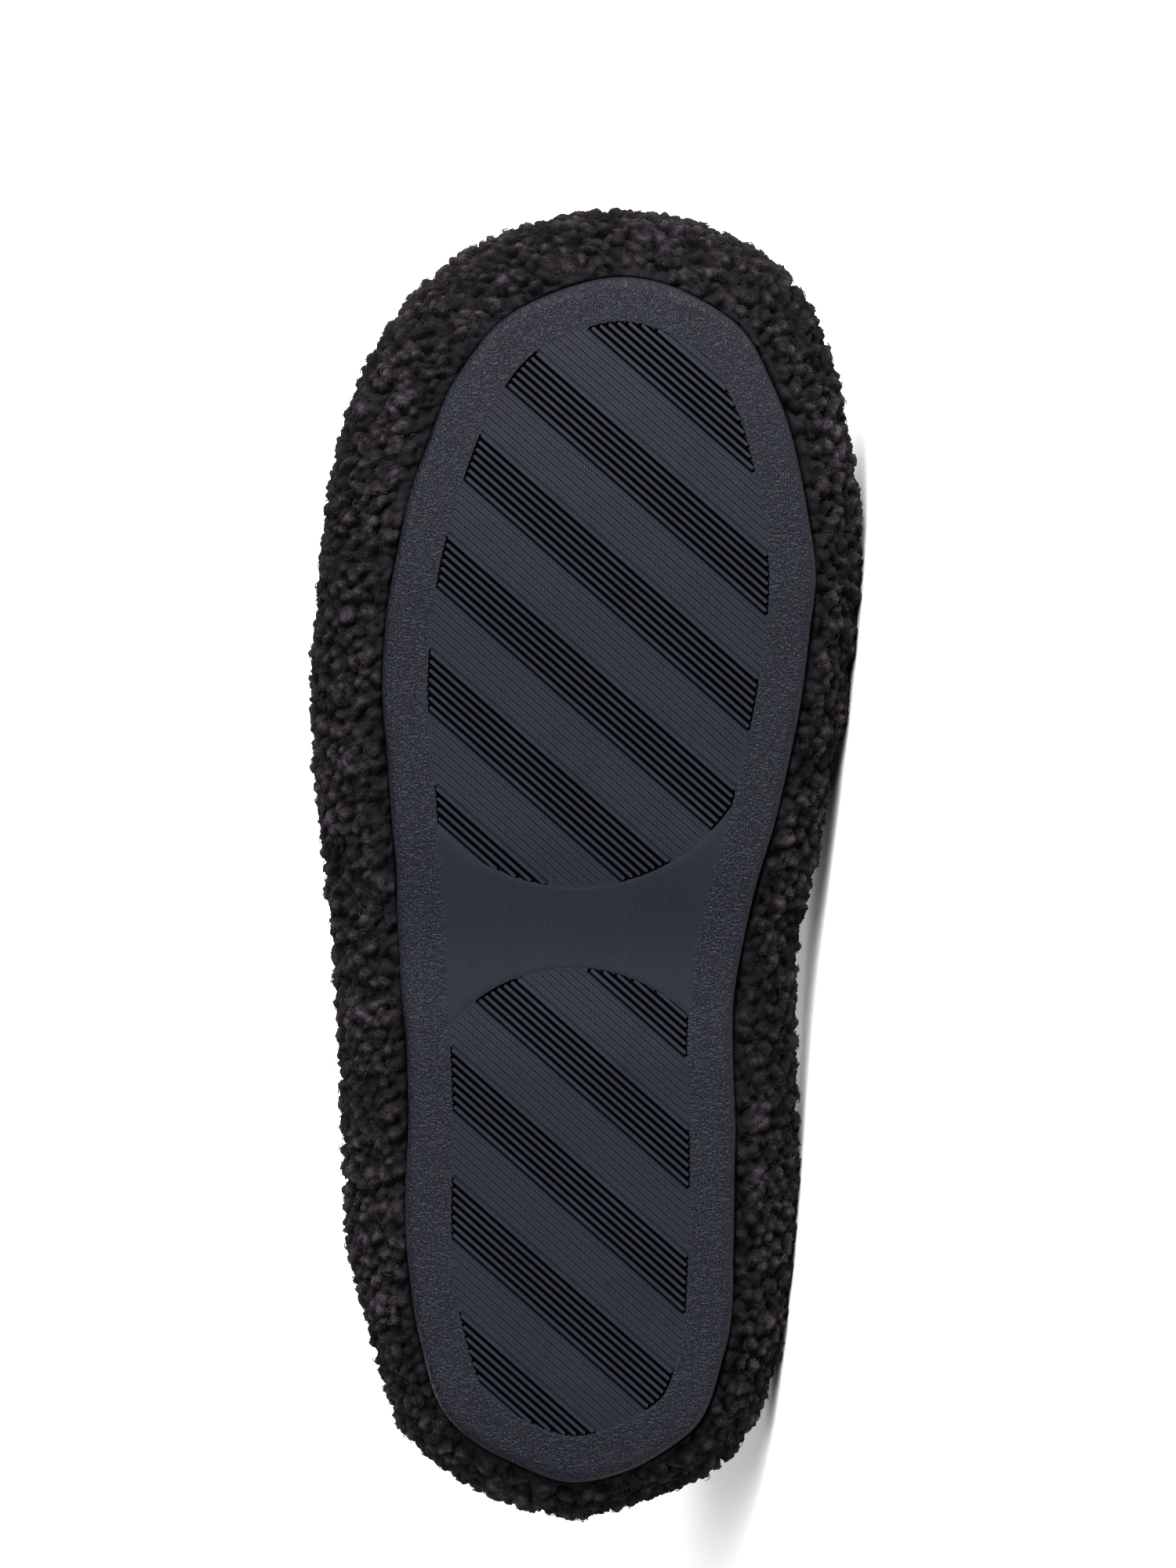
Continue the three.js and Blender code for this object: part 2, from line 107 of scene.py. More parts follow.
# A row for each section of the foot from the heel end to the toe end. "along" and "rim along"
# are shares of the sole's length, sides of half the ball width, overhangs of the fleece's
# overhang, the rim's height of the throat's, and "arch" bends the wall from bulge to rim.
SECTIONS = np.array([
    # along, inner, outer, inner fleece, outer fleece, rim along, inner rim, outer rim, height, arch
    (0.000, 0.000, 0.000, 0.620, 0.620, 0.012, 0.000, 0.000, 0.590, 2.00),
    (0.045, 0.556, 0.560, 0.720, 0.700, 0.050, 0.420, 0.430, 0.580, 2.00),
    (0.110, 0.697, 0.730, 0.810, 0.720, 0.110, 0.615, 0.640, 0.555, 2.00),
    (0.190, 0.721, 0.807, 0.910, 0.860, 0.190, 0.700, 0.740, 0.530, 2.00),
    (0.290, 0.708, 0.824, 0.930, 0.970, 0.280, 0.735, 0.780, 0.530, 2.00),
    (0.370, 0.680, 0.857, 0.920, 0.970, 0.345, 0.735, 0.790, 0.560, 2.00),
    (0.448, 0.710, 0.895, 0.820, 0.990, 0.400, 0.715, 0.780, 0.615, 1.95),
    (0.552, 0.840, 0.956, 0.720, 1.060, 0.460, 0.660, 0.725, 0.710, 1.85),
    (0.655, 0.945, 1.018, 0.700, 1.040, 0.512, 0.560, 0.625, 0.810, 1.70),
    (0.760, 0.982, 0.978, 0.725, 1.100, 0.548, 0.430, 0.485, 0.900, 1.50),
    (0.863, 0.873, 0.831, 0.840, 1.270, 0.568, 0.275, 0.310, 0.960, 1.35),
    (0.915, 0.763, 0.708, 0.960, 1.270, 0.575, 0.187, 0.210, 0.980, 1.30),
    (0.967, 0.556, 0.466, 1.090, 1.160, 0.579, 0.092, 0.105, 0.995, 1.25),
    (1.000, 0.050, -0.050, 1.050, 1.050, 0.581, 0.000, 0.000, 1.000, 1.20),
])
UNDERSIDE_FULLNESS = 2.4


def smooth(share):
    """0 below 0, 1 above 1, and 3s^2 - 2s^3 between."""
    s = np.clip(share, 0, 1)
    return s * s * (3 - 2 * s)


def lift(y):
    """Height of the sole's ground face at y: parabolas up to the toe and the heel, and the arch."""
    share = y / SOLE_LENGTH
    toe = np.clip((share - SPRING_START) / (1 - SPRING_START), 0, 1)
    heel = np.clip((HEEL_RISE - share) / HEEL_RISE, 0, 1)
    middle = (ARCH_START + ARCH_END) / 2
    arch = 1 - np.abs(share - middle) / (ARCH_END - middle)
    return TOE_SPRING * toe**2 + HEEL_SPRING * heel**2 + ARCH_LIFT * smooth(arch)


def section_loop():
    """The sections as one closed line: up the inner side from the heel, down the outer side."""
    along, inner, outer, inner_fleece, outer_fleece = SECTIONS.T[:5]
    rim, inner_rim, outer_rim, height, arch = SECTIONS.T[5:]
    half = BALL_WIDTH / 2

    def side(sign, width, fleece, rim_width):
        return np.stack([
            sign * width * half, along * SOLE_LENGTH, fleece * FLEECE_OVERHANG,
            sign * rim_width * half, rim * SOLE_LENGTH, height * THROAT_HEIGHT, arch,
        ], axis=1)

    up = side(-1, inner, inner_fleece, inner_rim)
    down = side(1, outer, outer_fleece, outer_rim)
    return np.concatenate([up, down[-2:0:-1]])


LOOP = section_loop()


def loop_values(share):
    """Values at shares 0 (heel end) to 1 (toe end) to 2 (heel end) of the way round.

    Each column is a cubic curve through the rows. Its slope at a row is that of the parabola
    through the row and its neighbours, over knots spaced by the root of the rows' distance.
    """
    ahead = np.sqrt(np.linalg.norm(np.roll(LOOP, -1, 0)[:, :2] - LOOP[:, :2], axis=1))
    back = np.roll(ahead, 1)
    knots = np.concatenate([[0], np.cumsum(ahead)])
    toe_knot = knots[len(SECTIONS) - 1]
    before = (LOOP - np.roll(LOOP, 1, 0)) / back[:, None]
    after = (np.roll(LOOP, -1, 0) - LOOP) / ahead[:, None]
    slope = (before * ahead[:, None] + after * back[:, None]) / (back + ahead)[:, None]
    share = np.mod(share, 2)
    knot = np.where(share <= 1, share * toe_knot, toe_knot + (share - 1) * (knots[-1] - toe_knot))
    i = np.clip(np.searchsorted(knots, knot, side="right") - 1, 0, len(LOOP) - 1)
    j = (i + 1) % len(LOOP)
    span = ahead[i][:, None]
    t = ((knot - knots[i]) / ahead[i])[:, None]
    a, b = LOOP[i], LOOP[j]
    gap = b - a
    from_a, to_b = slope[i] * span, slope[j] * span
    return a + t * from_a + t**2 * (3 * gap - 2 * from_a - to_b) + t**3 * (from_a + to_b - 2 * gap)


class Stations:
    """Places around the sole: the sole's edge, the way out from it, the overhang and the rim."""

    def __init__(self, share):
        step = 1e-4
        values = loop_values(share)
        run = loop_values(share + step)[:, :2] - loop_values(share - step)[:, :2]
        run /= np.linalg.norm(run, axis=1)[:, None]
        self.share = share
        self.edge = values[:, :2]
        self.out = np.stack([-run[:, 1], run[:, 0]], axis=1)
        self.overhang = values[:, 2]
        self.rim = values[:, 3:6]
        self.arch = values[:, 6]
        self.lift = lift(values[:, 1])

    def place(self, outwards, height):
        """Points a distance out from the sole's edge, at a height over the sole's own lift."""
        flat = self.edge + self.out * np.broadcast_to(outwards, self.share.shape)[:, None]
        return np.column_stack([flat, np.broadcast_to(height, self.share.shape) + self.lift])


def even_stations(count, outwards=0.0):
    """Stations at equal distances along the line that lies so far out from the sole's edge."""
    fine = np.linspace(0, 2, 4001)
    line = Stations(fine).place(outwards, 0.0)
    length = np.concatenate([[0], np.cumsum(np.linalg.norm(np.diff(line, axis=0), axis=1))])
    return Stations(np.interp(np.arange(count) / count * length[-1], length, fine))


def resample(lines, count, start=None, stop=None):
    """Each line of points again, at count points of equal distance, between two lengths along it."""
    steps = np.linalg.norm(np.diff(lines, axis=1), axis=2)
    length = np.concatenate([np.zeros((len(lines), 1)), np.cumsum(steps, axis=1)], axis=1)
    start = np.zeros(len(lines)) if start is None else start
    stop = length[:, -1] if stop is None else stop
    # Every line gets a stretch of its own on one long ruler, so that one lookup serves them all
    offset = 1000.0 * np.arange(len(lines))[:, None]
    share = np.linspace(0, 1, count)[None, :]
    wanted = (start[:, None] + (stop - start)[:, None] * share + offset).ravel()
    parts = [np.interp(wanted, (length + offset).ravel(), lines[:, :, c].ravel()) for c in range(3)]
    return np.stack(parts, axis=1).reshape(len(lines), count, 3)


def length_to(lines, index):
    """How far along each line its point of that index lies."""
    return np.linalg.norm(np.diff(lines[:, :index + 1], axis=1), axis=2).sum(axis=1)


def lasting_line(at, start, end, low, steps):
    """The fleece's round underside: out as sin^(2/n), up as 1 - cos^(2/n) of the same turn."""
    turn = np.linspace(0, np.pi / 2, steps)[None, :]
    power = 2 / UNDERSIDE_FULLNESS
    out = start + (end[:, None] - start) * np.sin(turn) ** power
    up = low + (BULGE_HEIGHT - low) * (1 - np.maximum(np.cos(turn), 0) ** power)
    flat = at.edge[:, None, :] + at.out[:, None, :] * out[:, :, None]
    up = up + at.lift[:, None]
    return np.concatenate([flat, up[:, :, None]], axis=2)


def wall_line(at, overhang, top, steps):
    """From the bulge to the rim: straight in plan, up by the root of 1 - (1 - share)^arch."""
    foot = at.place(overhang, BULGE_HEIGHT)
    inwards = (np.linspace(0, 1, steps)[None, :]) ** 2
    rise = np.sqrt(1 - (1 - inwards) ** at.arch[:, None])
    flat = foot[:, None, :2] + (at.rim[:, None, :2] - foot[:, None, :2]) * inwards[:, :, None]
    height = foot[:, 2:] + (top - foot[:, 2])[:, None] * rise
    return np.concatenate([flat, height[:, :, None]], axis=2)


def rim_line(at, steps):
    """Half round of the wall's thickness from the rim's top, leaning into the opening."""
    turn = np.linspace(0, np.pi, steps)[None, 1:, None]
    inwards = at.rim[:, :2] - at.place(at.overhang, 0.0)[:, :2]
    inwards /= np.linalg.norm(inwards, axis=1)[:, None]
    radius = WALL_THICKNESS / 2
    flat = at.rim[:, None, :2] + inwards[:, None, :] * radius * np.sin(turn)
    height = at.rim[:, None, 2:] - radius + radius * np.cos(turn)
    return np.concatenate([flat, height], axis=2)


# Points on each section of the upper: under its bulge, up its wall and round its rim
UNDER_STEPS = 60
WALL_STEPS = 160
RIM_STEPS = 16


def upper_lines(at, depth):
    """The upper's section at each station, at a depth into its wall: 0 outside, 6 mm inside.

    Outside it runs from the sole's edge over the bulge and round the rim. Deeper in it starts
    at the margin's inner edge and ends at the rim. Also given is how far along the bulge lies.
    """
    low = SOLE_THICKNESS + CLEARANCE
    seat = MARGIN_THICKNESS * depth / WALL_THICKNESS
    reach = at.overhang - depth
    parts = [
        lasting_line(at, -seat, reach, low + seat, UNDER_STEPS)[:, :-1],
        wall_line(at, reach, at.rim[:, 2] - depth, WALL_STEPS),
    ]
    if depth:
        parts.insert(0, at.place(-MARGIN_WIDTH, low + seat)[:, None, :])
    else:
        parts.append(rim_line(at, RIM_STEPS))
    lines = np.concatenate(parts, axis=1)
    return lines, length_to(lines, UNDER_STEPS if depth else UNDER_STEPS - 1)


def laying_turn():
    """The turn that lays the shoe on its inner side, tilted back, ball and heel equally low."""
    axes = np.array([[0, 1, 0], [0, 0, 1], [1, 0, 0]], float)
    c, s = np.cos(LAY_TILT), np.sin(LAY_TILT)
    tilt = np.array([[1, 0, 0], [0, c, s], [0, -s, c]])
    at = even_stations(600, FLEECE_OVERHANG)
    low = SOLE_THICKNESS + CLEARANCE
    under = lasting_line(at, 0.0, at.overhang, low, 40)
    wall = wall_line(at, at.overhang, at.rim[:, 2], 60)
    skin = np.concatenate([under, wall], axis=1).reshape(-1, 3)
    is_heel = skin[:, 1] < SOLE_LENGTH * ARCH_END
    yaw = 0.0
    for _ in range(12):
        c, s = np.cos(yaw), np.sin(yaw)
        turn = tilt @ np.array([[c, 0, s], [0, 1, 0], [-s, 0, c]]) @ axes
        turned = skin @ turn.T
        heel, ball = turned[is_heel], turned[~is_heel]
        heel = heel[np.argmin(heel[:, 2])]
        ball = ball[np.argmin(ball[:, 2])]
        yaw += np.arctan2(ball[2] - heel[2], ball[0] - heel[0])
    return turn


TURN = laying_turn()


# Added to a place counted in cells, so that no cell's number is negative
FAR_CELL = 1000


def cells(points, size):
    """Places counted in cells of that size, and the whole number of the cell each lies in."""
    scaled = points / size + FAR_CELL
    return scaled, np.floor(scaled).astype(np.int64)


def hashed(cell, seed):
    """A repeatable number from 0 to 1 for each whole-numbered cell of space."""
    x, y, z = (cell[..., i].astype(np.uint32) for i in range(3))
    h = x * np.uint32(73856093) ^ y * np.uint32(19349663) ^ z * np.uint32(83492791)
    h ^= np.uint32((seed * 2654435761) & 0xFFFFFFFF)
    h = (h ^ (h >> np.uint32(15))) * np.uint32(2246822519)
    h = (h ^ (h >> np.uint32(13))) * np.uint32(3266489917)
    h ^= h >> np.uint32(16)
    return h.astype(np.float64) / 4294967295.0


def cell_balls(base, seed):
    """For each of the 27 cells round a place: the cell, and a random point in it."""
    for corner in np.ndindex(3, 3, 3):
        cell = base + np.array(corner) - 1
        yield cell, cell + np.stack([hashed(cell, seed + i) for i in range(3)], axis=1)


def soft_noise(points, size, seed):
    """Smooth noise from 0 to 1: random values at the corners of cells of that size, blended."""
    scaled, base = cells(points, size)
    t = scaled - base
    t = t * t * (3 - 2 * t)
    total = np.zeros(len(points))
    for corner in np.ndindex(2, 2, 2):
        offset = np.array(corner)
        weight = np.prod(np.where(offset, t, 1 - t), axis=1)
        total += weight * hashed(base + offset, seed)
    return total


# How long the slow swells of the sole's edge are, and a ring so far above its round edge
WAVER_SIZE = 13.0
SIDE_RING = 1.5


def sole_rings(count, waver=0.0):
    """The sole's outer rings from its flat top's edge down its side and round to the ground face.

    The edge may waver in and out by a slow noise, as a moulded sole glued by hand does.
    """
    at = even_stations(count)
    wave = waver * (soft_noise(at.place(0.0, 0.0), WAVER_SIZE, 71) - 0.5)
    rings = [at.place(wave, SOLE_THICKNESS), at.place(wave, SOLE_EDGE_RADIUS + SIDE_RING)]
    for turn in np.linspace(np.pi / 2, 0, 7):
        inwards = SOLE_EDGE_RADIUS * (np.sin(turn) - 1)
        rings.append(at.place(wave + inwards, SOLE_EDGE_RADIUS * (1 - np.cos(turn))))
    return at, rings


def frame_shift():
    """Where the shoe's own origin lies in the frame, from the outsole's box."""
    points = np.concatenate(sole_rings(800)[1]) @ TURN.T
    own = np.array([points.min(0), points.max(0)])
    box = np.array([tuple(corner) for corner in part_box("outsole")]) / MM
    return (box - own).mean(0)


SHIFT = frame_shift()


def laid(points):
    """Points in the shoe's axes, in millimetres, as points in the frame, in metres."""
    return (points @ TURN.T + SHIFT) * MM


def finish_mesh(name, points, faces, look, on_floor=True, rounded=True):
    """A mesh object at the origin, with its points in the frame.

    A piece that lies on the floor is pressed flat there, so that nothing reaches under it.
    """
    place = laid(points)
    if on_floor:
        place[:, 2] = np.maximum(place[:, 2], 0.0)
    mesh = bpy.data.meshes.new(name)
    faces = np.asarray(faces, dtype=np.int32)
    corners = faces.shape[1]
    mesh.vertices.add(len(place))
    mesh.vertices.foreach_set("co", place.astype(np.float32).ravel())
    mesh.loops.add(faces.size)
    mesh.loops.foreach_set("vertex_index", faces.ravel())
    mesh.polygons.add(len(faces))
    mesh.polygons.foreach_set("loop_start", np.arange(len(faces), dtype=np.int32) * corners)
    mesh.polygons.foreach_set("use_smooth", np.full(len(faces), rounded))
    mesh.update(calc_edges=True)
    mesh.validate()
    piece = bpy.data.objects.new(name, mesh)
    bpy.context.collection.objects.link(piece)
    mesh.materials.append(look)
    return piece


def grid_faces(rows, columns, around=True, closed=False):
    """Triangles of a grid of rows by columns, which may close round its columns and its rows."""
    last_row = rows if closed else rows - 1
    last_column = columns if around else columns - 1
    r, c = np.meshgrid(np.arange(last_row), np.arange(last_column), indexing="ij")
    next_r, next_c = (r + 1) % rows, (c + 1) % columns
    a, b = r * columns + c, r * columns + next_c
    d, e = next_r * columns + c, next_r * columns + next_c
    quads = np.stack([a, d, e, b], axis=2).reshape(-1, 4)
    return np.concatenate([quads[:, [0, 1, 2]], quads[:, [0, 2, 3]]])


def grid_normals(grid):
    """Unit normals of a grid of points that closes round its second direction."""
    along = np.gradient(grid, axis=0)
    across = np.roll(grid, -1, 1) - np.roll(grid, 1, 1)
    normal = np.cross(along, across)
    length = np.linalg.norm(normal, axis=2)
    return normal / np.maximum(length, 1e-9)[:, :, None]


def tufts(points, size, seed):
    """Round tufts: 1 at a random point in each cell, falling as an ellipse to 0 a cell away."""
    scaled, base = cells(points, size)
    nearest = np.full(len(points), np.inf)
    for _, centre in cell_balls(base, seed):
        nearest = np.minimum(nearest, np.sum((centre - scaled) ** 2, axis=1))
    return np.sqrt(np.maximum(1 - nearest, 0))


# Materials


def material(name, build):
    """A node material whose Principled shader is set up by the function build."""
    made = bpy.data.materials.new(name)
    made.use_nodes = True
    tree = made.node_tree
    shader = tree.nodes["Principled BSDF"]
    build(tree, shader)
    return made


def node(tree, kind, inputs=None, **settings):
    """A new node with its settings and its unlinked input values."""
    made = tree.nodes.new(kind)
    for key, value in settings.items():
        setattr(made, key, value)
    for key, value in (inputs or {}).items():
        made.inputs[key].default_value = value
    return made


def linked(tree, source, target, socket):
    """Links a node's first output, or a given output socket, to an input of another node."""
    output = source.outputs[0] if hasattr(source, "outputs") else source
    tree.links.new(output, target.inputs[socket])
    return target


def object_places(tree, stretch=(1, 1, 1)):
    """Object coordinates, stretched."""
    coords = node(tree, "ShaderNodeTexCoord")
    mapping = node(tree, "ShaderNodeMapping", {"Scale": stretch})
    return linked(tree, coords.outputs["Object"], mapping, "Vector")


def noise(tree, places, scale, detail=2.0, roughness=0.5, distortion=0.0):
    """A noise texture on the given places."""
    made = node(tree, "ShaderNodeTexNoise", {
        "Scale": scale, "Detail": detail, "Roughness": roughness, "Distortion": distortion,
    })
    return linked(tree, places, made, "Vector")


def ramp(tree, source, stops):
    """A colour ramp with (place, colour) stops."""
    made = node(tree, "ShaderNodeValToRGB")
    elements = made.color_ramp.elements
    while len(elements) < len(stops):
        elements.new(0.5)
    for element, (place, colour) in zip(elements, stops):
        element.position = place
        element.color = (*colour, 1)
    return linked(tree, source, made, "Fac")


def bump(tree, height, distance, strength=1.0, under=None):
    """A bump from a height, over another bump if there is one. distance is in metres."""
    made = node(tree, "ShaderNodeBump", {"Strength": strength, "Distance": distance})
    linked(tree, height, made, "Height")
    if under is not None:
        linked(tree, under, made, "Normal")
    return made


def maths(tree, operation, first, second=None, value=None, added=None):
    """One operation on a source, then on a second source or a value, then on what is added.

    What is added, for a multiplication and a sum in one, is another source or a number.
    """
    made = node(tree, "ShaderNodeMath", operation=operation)
    linked(tree, first, made, 0)
    if second is not None:
        linked(tree, second, made, 1)
    elif value is not None:
        made.inputs[1].default_value = value
    if isinstance(added, float):
        made.inputs[2].default_value = added
    elif added is not None:
        linked(tree, added, made, 2)
    return made


def one_minus(tree, source):
    """One minus the source."""
    made = node(tree, "ShaderNodeMath", {0: 1.0}, operation="SUBTRACT")
    return linked(tree, source, made, 1)


def blended(tree, share, colour, other):
    """The colour of a source where the share is 0, and another, fixed colour where it is 1."""
    made = node(tree, "ShaderNodeMix", data_type="RGBA")
    linked(tree, share, made, 0)
    # Sockets 6 and 7 of a Mix node are its two colours, and output 2 is the mixed one
    linked(tree, colour, made, 6)
    made.inputs[7].default_value = (*other, 1)
    return made.outputs[2]


def grey(level):
    """A grey of that level."""
    return (level, level, level)


def attribute(tree, name):
    """A piece's own values of that name."""
    return node(tree, "ShaderNodeAttribute", attribute_name=name).outputs["Fac"]


def set_shader(shader, **values):
    """Sets the shader's own inputs, which are named with _ for each space."""
    for key, value in values.items():
        shader.inputs[key.replace("_", " ")].default_value = value


def fleece_material(name, dark, middle, light, sheen):
    """Wool: near black between its tufts and lighter on them, painted shade from "pile"."""

    def build(tree, shader):
        places = object_places(tree)
        # "pile" is high on tuft tops and low between them: painted shade low, painted light on top
        pile = maths(tree, "MULTIPLY", attribute(tree, "pile"), value=0.7)
        curls = noise(tree, places, 1000, detail=3, roughness=0.6, distortion=1.8)
        fibres = noise(tree, places, 2300, detail=2, roughness=0.6, distortion=2.2)
        mixed = maths(tree, "ADD", pile, second=maths(tree, "MULTIPLY", curls, value=0.45))
        # Fibres lighter and darker than the tuft they belong to
        fine = maths(tree, "MULTIPLY_ADD", fibres, value=0.9, added=-0.45)
        mixed = maths(tree, "ADD", mixed, second=fine)
        colour = ramp(tree, mixed, [(0.3, dark), (0.65, middle), (1.0, light)])
        linked(tree, colour, shader, "Base Color")
        raised = bump(tree, curls, 0.0008, 0.9)
        raised = bump(tree, fibres, 0.0004, 1.0, under=raised)
        linked(tree, raised, shader, "Normal")
        set_shader(shader, Roughness=0.92, Specular_IOR_Level=0.06, Sheen_Weight=sheen,
                   Sheen_Roughness=0.45, Sheen_Tint=(0.62, 0.56, 0.62, 1))

    return material(name, build)


def strand_material(name, dark, light, sheen):
    """Curls of wool, coloured by their "shade" attribute: painted shade with a random tone."""

    def build(tree, shader):
        colour = ramp(tree, attribute(tree, "shade"), [(0.0, dark), (1.0, light)])
        linked(tree, colour, shader, "Base Color")
        fibres = noise(tree, object_places(tree), 3400, detail=2, roughness=0.6)
        linked(tree, bump(tree, fibres, 0.0003, 0.6), shader, "Normal")
        set_shader(shader, Roughness=0.8, Specular_IOR_Level=0.1, Sheen_Weight=sheen,
                   Sheen_Roughness=0.4, Sheen_Tint=(0.7, 0.64, 0.7, 1))

    return material(name, build)


def rubber_material(name):
    """Blue-black rubber with fine lengthwise lines, and a worm-like grain on the border.

    The grain is a sine of a smooth noise times 15, so its ridges wind along lines of equal noise.
    The lines are a sine of the "sideways" place in mm, and "ribbed" is 1 on the smooth ribs,
    where there are none. "border" is 1 where the grain is, and "depth" 1 down in a groove.
    """

    def build(tree, shader):
        places = object_places(tree)
        border, depth, ribbed, sideways = (
            attribute(tree, key) for key in ("border", "depth", "ribbed", "sideways")
        )
        wave = maths(tree, "MULTIPLY", sideways, value=2 * np.pi / STRIATION_PITCH)
        # The sole lies with its length along X, so breaks in the lines are long that way
        long_places = object_places(tree, stretch=(0.5, 1.0, 1.0))
        breaks = noise(tree, long_places, 1500, detail=2, roughness=0.6)
        breaks = maths(tree, "MULTIPLY", breaks, value=1.6)
        lines = maths(tree, "MULTIPLY", maths(tree, "SINE", wave), second=breaks)
        lines = maths(tree, "MULTIPLY", lines, second=one_minus(tree, ribbed))
        blobs = noise(tree, places, 1150, detail=0.0, distortion=0.4)
        worms = maths(tree, "SINE", maths(tree, "MULTIPLY_ADD", blobs, value=15.0, added=-7.5))
        grain = maths(tree, "MULTIPLY", worms, second=border)
        patches = noise(tree, places, 60, detail=4, roughness=0.6)
        border_tone = maths(tree, "MULTIPLY", border, value=-0.2)
        tone = maths(tree, "MULTIPLY_ADD", patches, value=0.64, added=border_tone)
        # The grain's hollows are painted darker and its ridges lighter: painted shade and painted
        # light
        tone = maths(tree, "ADD", maths(tree, "MULTIPLY", grain, value=0.45), second=tone)
        # The fine lines also darken and lighten the colour: painted shade in their creases, painted
        # light beside
        tone = maths(tree, "ADD", lines, second=tone)
        # The band of ribs is painted lighter, as rib tops that catch the light: painted light
        tone = maths(tree, "ADD", tone, second=maths(tree, "MULTIPLY", ribbed, value=0.34))
        colour = ramp(tree, tone, [
            (0.0, (0.0023, 0.0026, 0.0045)), (0.8, (0.0088, 0.0096, 0.0144)),
        ])
        # Down in a groove the colour is near black: painted shade
        sunk = blended(tree, depth, colour, (0.0005, 0.0006, 0.0011))
        linked(tree, sunk, shader, "Base Color")
        raised = bump(tree, lines, 0.00003, 0.8)
        raised = bump(tree, grain, 0.00008, 1.0, under=raised)
        linked(tree, raised, shader, "Normal")
        gloss = noise(tree, places, 260, detail=3)
        linked(tree, ramp(tree, gloss, [(0.3, grey(0.36)), (0.7, grey(0.48))]), shader, "Roughness")
        glint = maths(tree, "MULTIPLY_ADD", border, value=0.02, added=0.06)
        # Less specular down in a groove, as painted shade
        glint = maths(tree, "MULTIPLY_ADD", depth, value=-0.055, added=glint)
        linked(tree, glint, shader, "Specular IOR Level")

    return material(name, build)


RUBBER = rubber_material("sole_rubber")
# The wools' darkest colours are painted shade between tufts; the lightest are for tuft tops
FLEECE = fleece_material(
    "fleece_pile", (0.0004, 0.0003, 0.0005), (0.0062, 0.0050, 0.0064), (0.046, 0.0375, 0.0458), 0.02)
LINING = fleece_material(
    "lining_pile", (0.002, 0.0017, 0.0021), (0.008, 0.0065, 0.008), (0.024, 0.0195, 0.0238), 0.04)
CURLS = strand_material("fleece_curls", (0.0006, 0.0005, 0.0007), (0.021, 0.0170, 0.0208), 0.012)


def declare(piece, node_name=None):
    """The piece rides on the one body, and hides the CAD node it stands in for, if one is given."""
    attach(piece, "root")
    if node_name:
        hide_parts(node_name)
    return piece


# The upper

# The fleece's two bands meet so far past the bulge, in mm along the skin, and lap
BANDS_MEET = 9.0
BANDS_LAP = 1.0
# Their back lies at this share of the wall, in this many rows
BACK_DEPTH = 0.75
BACK_ROWS = 12
# The pile: sizes of its balls, their heights, and how far it lies sunk into the wall
BALL_SIZE = 2.1
BALL_HEIGHT = 3.2
SMALL_BALL_SIZE = 1.1
SMALL_BALL_HEIGHT = 0.5
PILE_SUNK = 4.1
# Beside the sole the pile swells, which fades over a few millimetres
EDGE_SWELL = 4.6
EDGE_FADE = 4.0
AWAY_FROM_EDGE = 30.0


def nubs(points, size, seed):
    """Balls of curled wool, one at a random place in each cell, 0.65 to 0.95 of a cell in radius.

    The value is the highest ball's: half to all of the root of 1 - (distance / radius)^2.
    """
    scaled, base = cells(points, size)
    highest = np.zeros(len(points))
    for cell, centre in cell_balls(base, seed):
        radius = 0.65 + 0.3 * hashed(cell, seed + 3)
        apart = np.sum((centre - scaled) ** 2, axis=1) / radius**2
        ball = np.sqrt(np.maximum(1 - apart, 0)) * (0.5 + 0.5 * hashed(cell, seed + 4))
        highest = np.maximum(highest, ball)
    return highest


def pile_height(points):
    """The pile over the skin: balls of wool in bent space, smaller ones on them, slow swells."""
    warp = np.stack([soft_noise(points, 2.6, seed) for seed in (11, 12, 13)], axis=1)
    bent = points + 1.7 * (warp - 0.5)
    swells = 0.6 * soft_noise(points, 5.0, 42) + 0.8 * soft_noise(points, 12.0, 41)
    balls = BALL_HEIGHT * nubs(bent, BALL_SIZE, 21)
    return balls + SMALL_BALL_HEIGHT * nubs(bent, SMALL_BALL_SIZE, 31) + swells - PILE_SUNK


def closed_skin(name, face, back, wool):
    """A closed skin from its face and its back, grids of points whose rows run upwards."""
    grid = np.concatenate([face, back[::-1]])
    faces = grid_faces(*grid.shape[:2], closed=True)
    return finish_mesh(name, grid.reshape(-1, 3), faces, wool)


def set_value(piece, name, values):
    """A number for each point of the piece, for its material."""
    made = piece.data.attributes.new(name, "FLOAT", "POINT")
    made.data.foreach_set("value", np.asarray(values, dtype=np.float32).ravel())


def raise_pile(skin, from_edge):
    """The skin with its pile, and its painted shade: darker low in the pile and near the sole.

    Beside the sole the pile swells by the edge swell, times e^(-distance / edge fade).
    """
    normals = grid_normals(skin)
    height = pile_height(skin.reshape(-1, 3)).reshape(skin.shape[:2])
    # Painted shade: the lower the pile the darker, and darker within a few mm of the sole
    shade = np.clip((height + 2.6) / 2.8, 0, 1) ** 1.1 * (0.7 + 0.3 * smooth(from_edge / 5.0))
    height = (height + EDGE_SWELL * np.exp(-from_edge / EDGE_FADE)) * smooth(from_edge / 0.6)
    return skin + normals * height[:, :, None], normals, shade


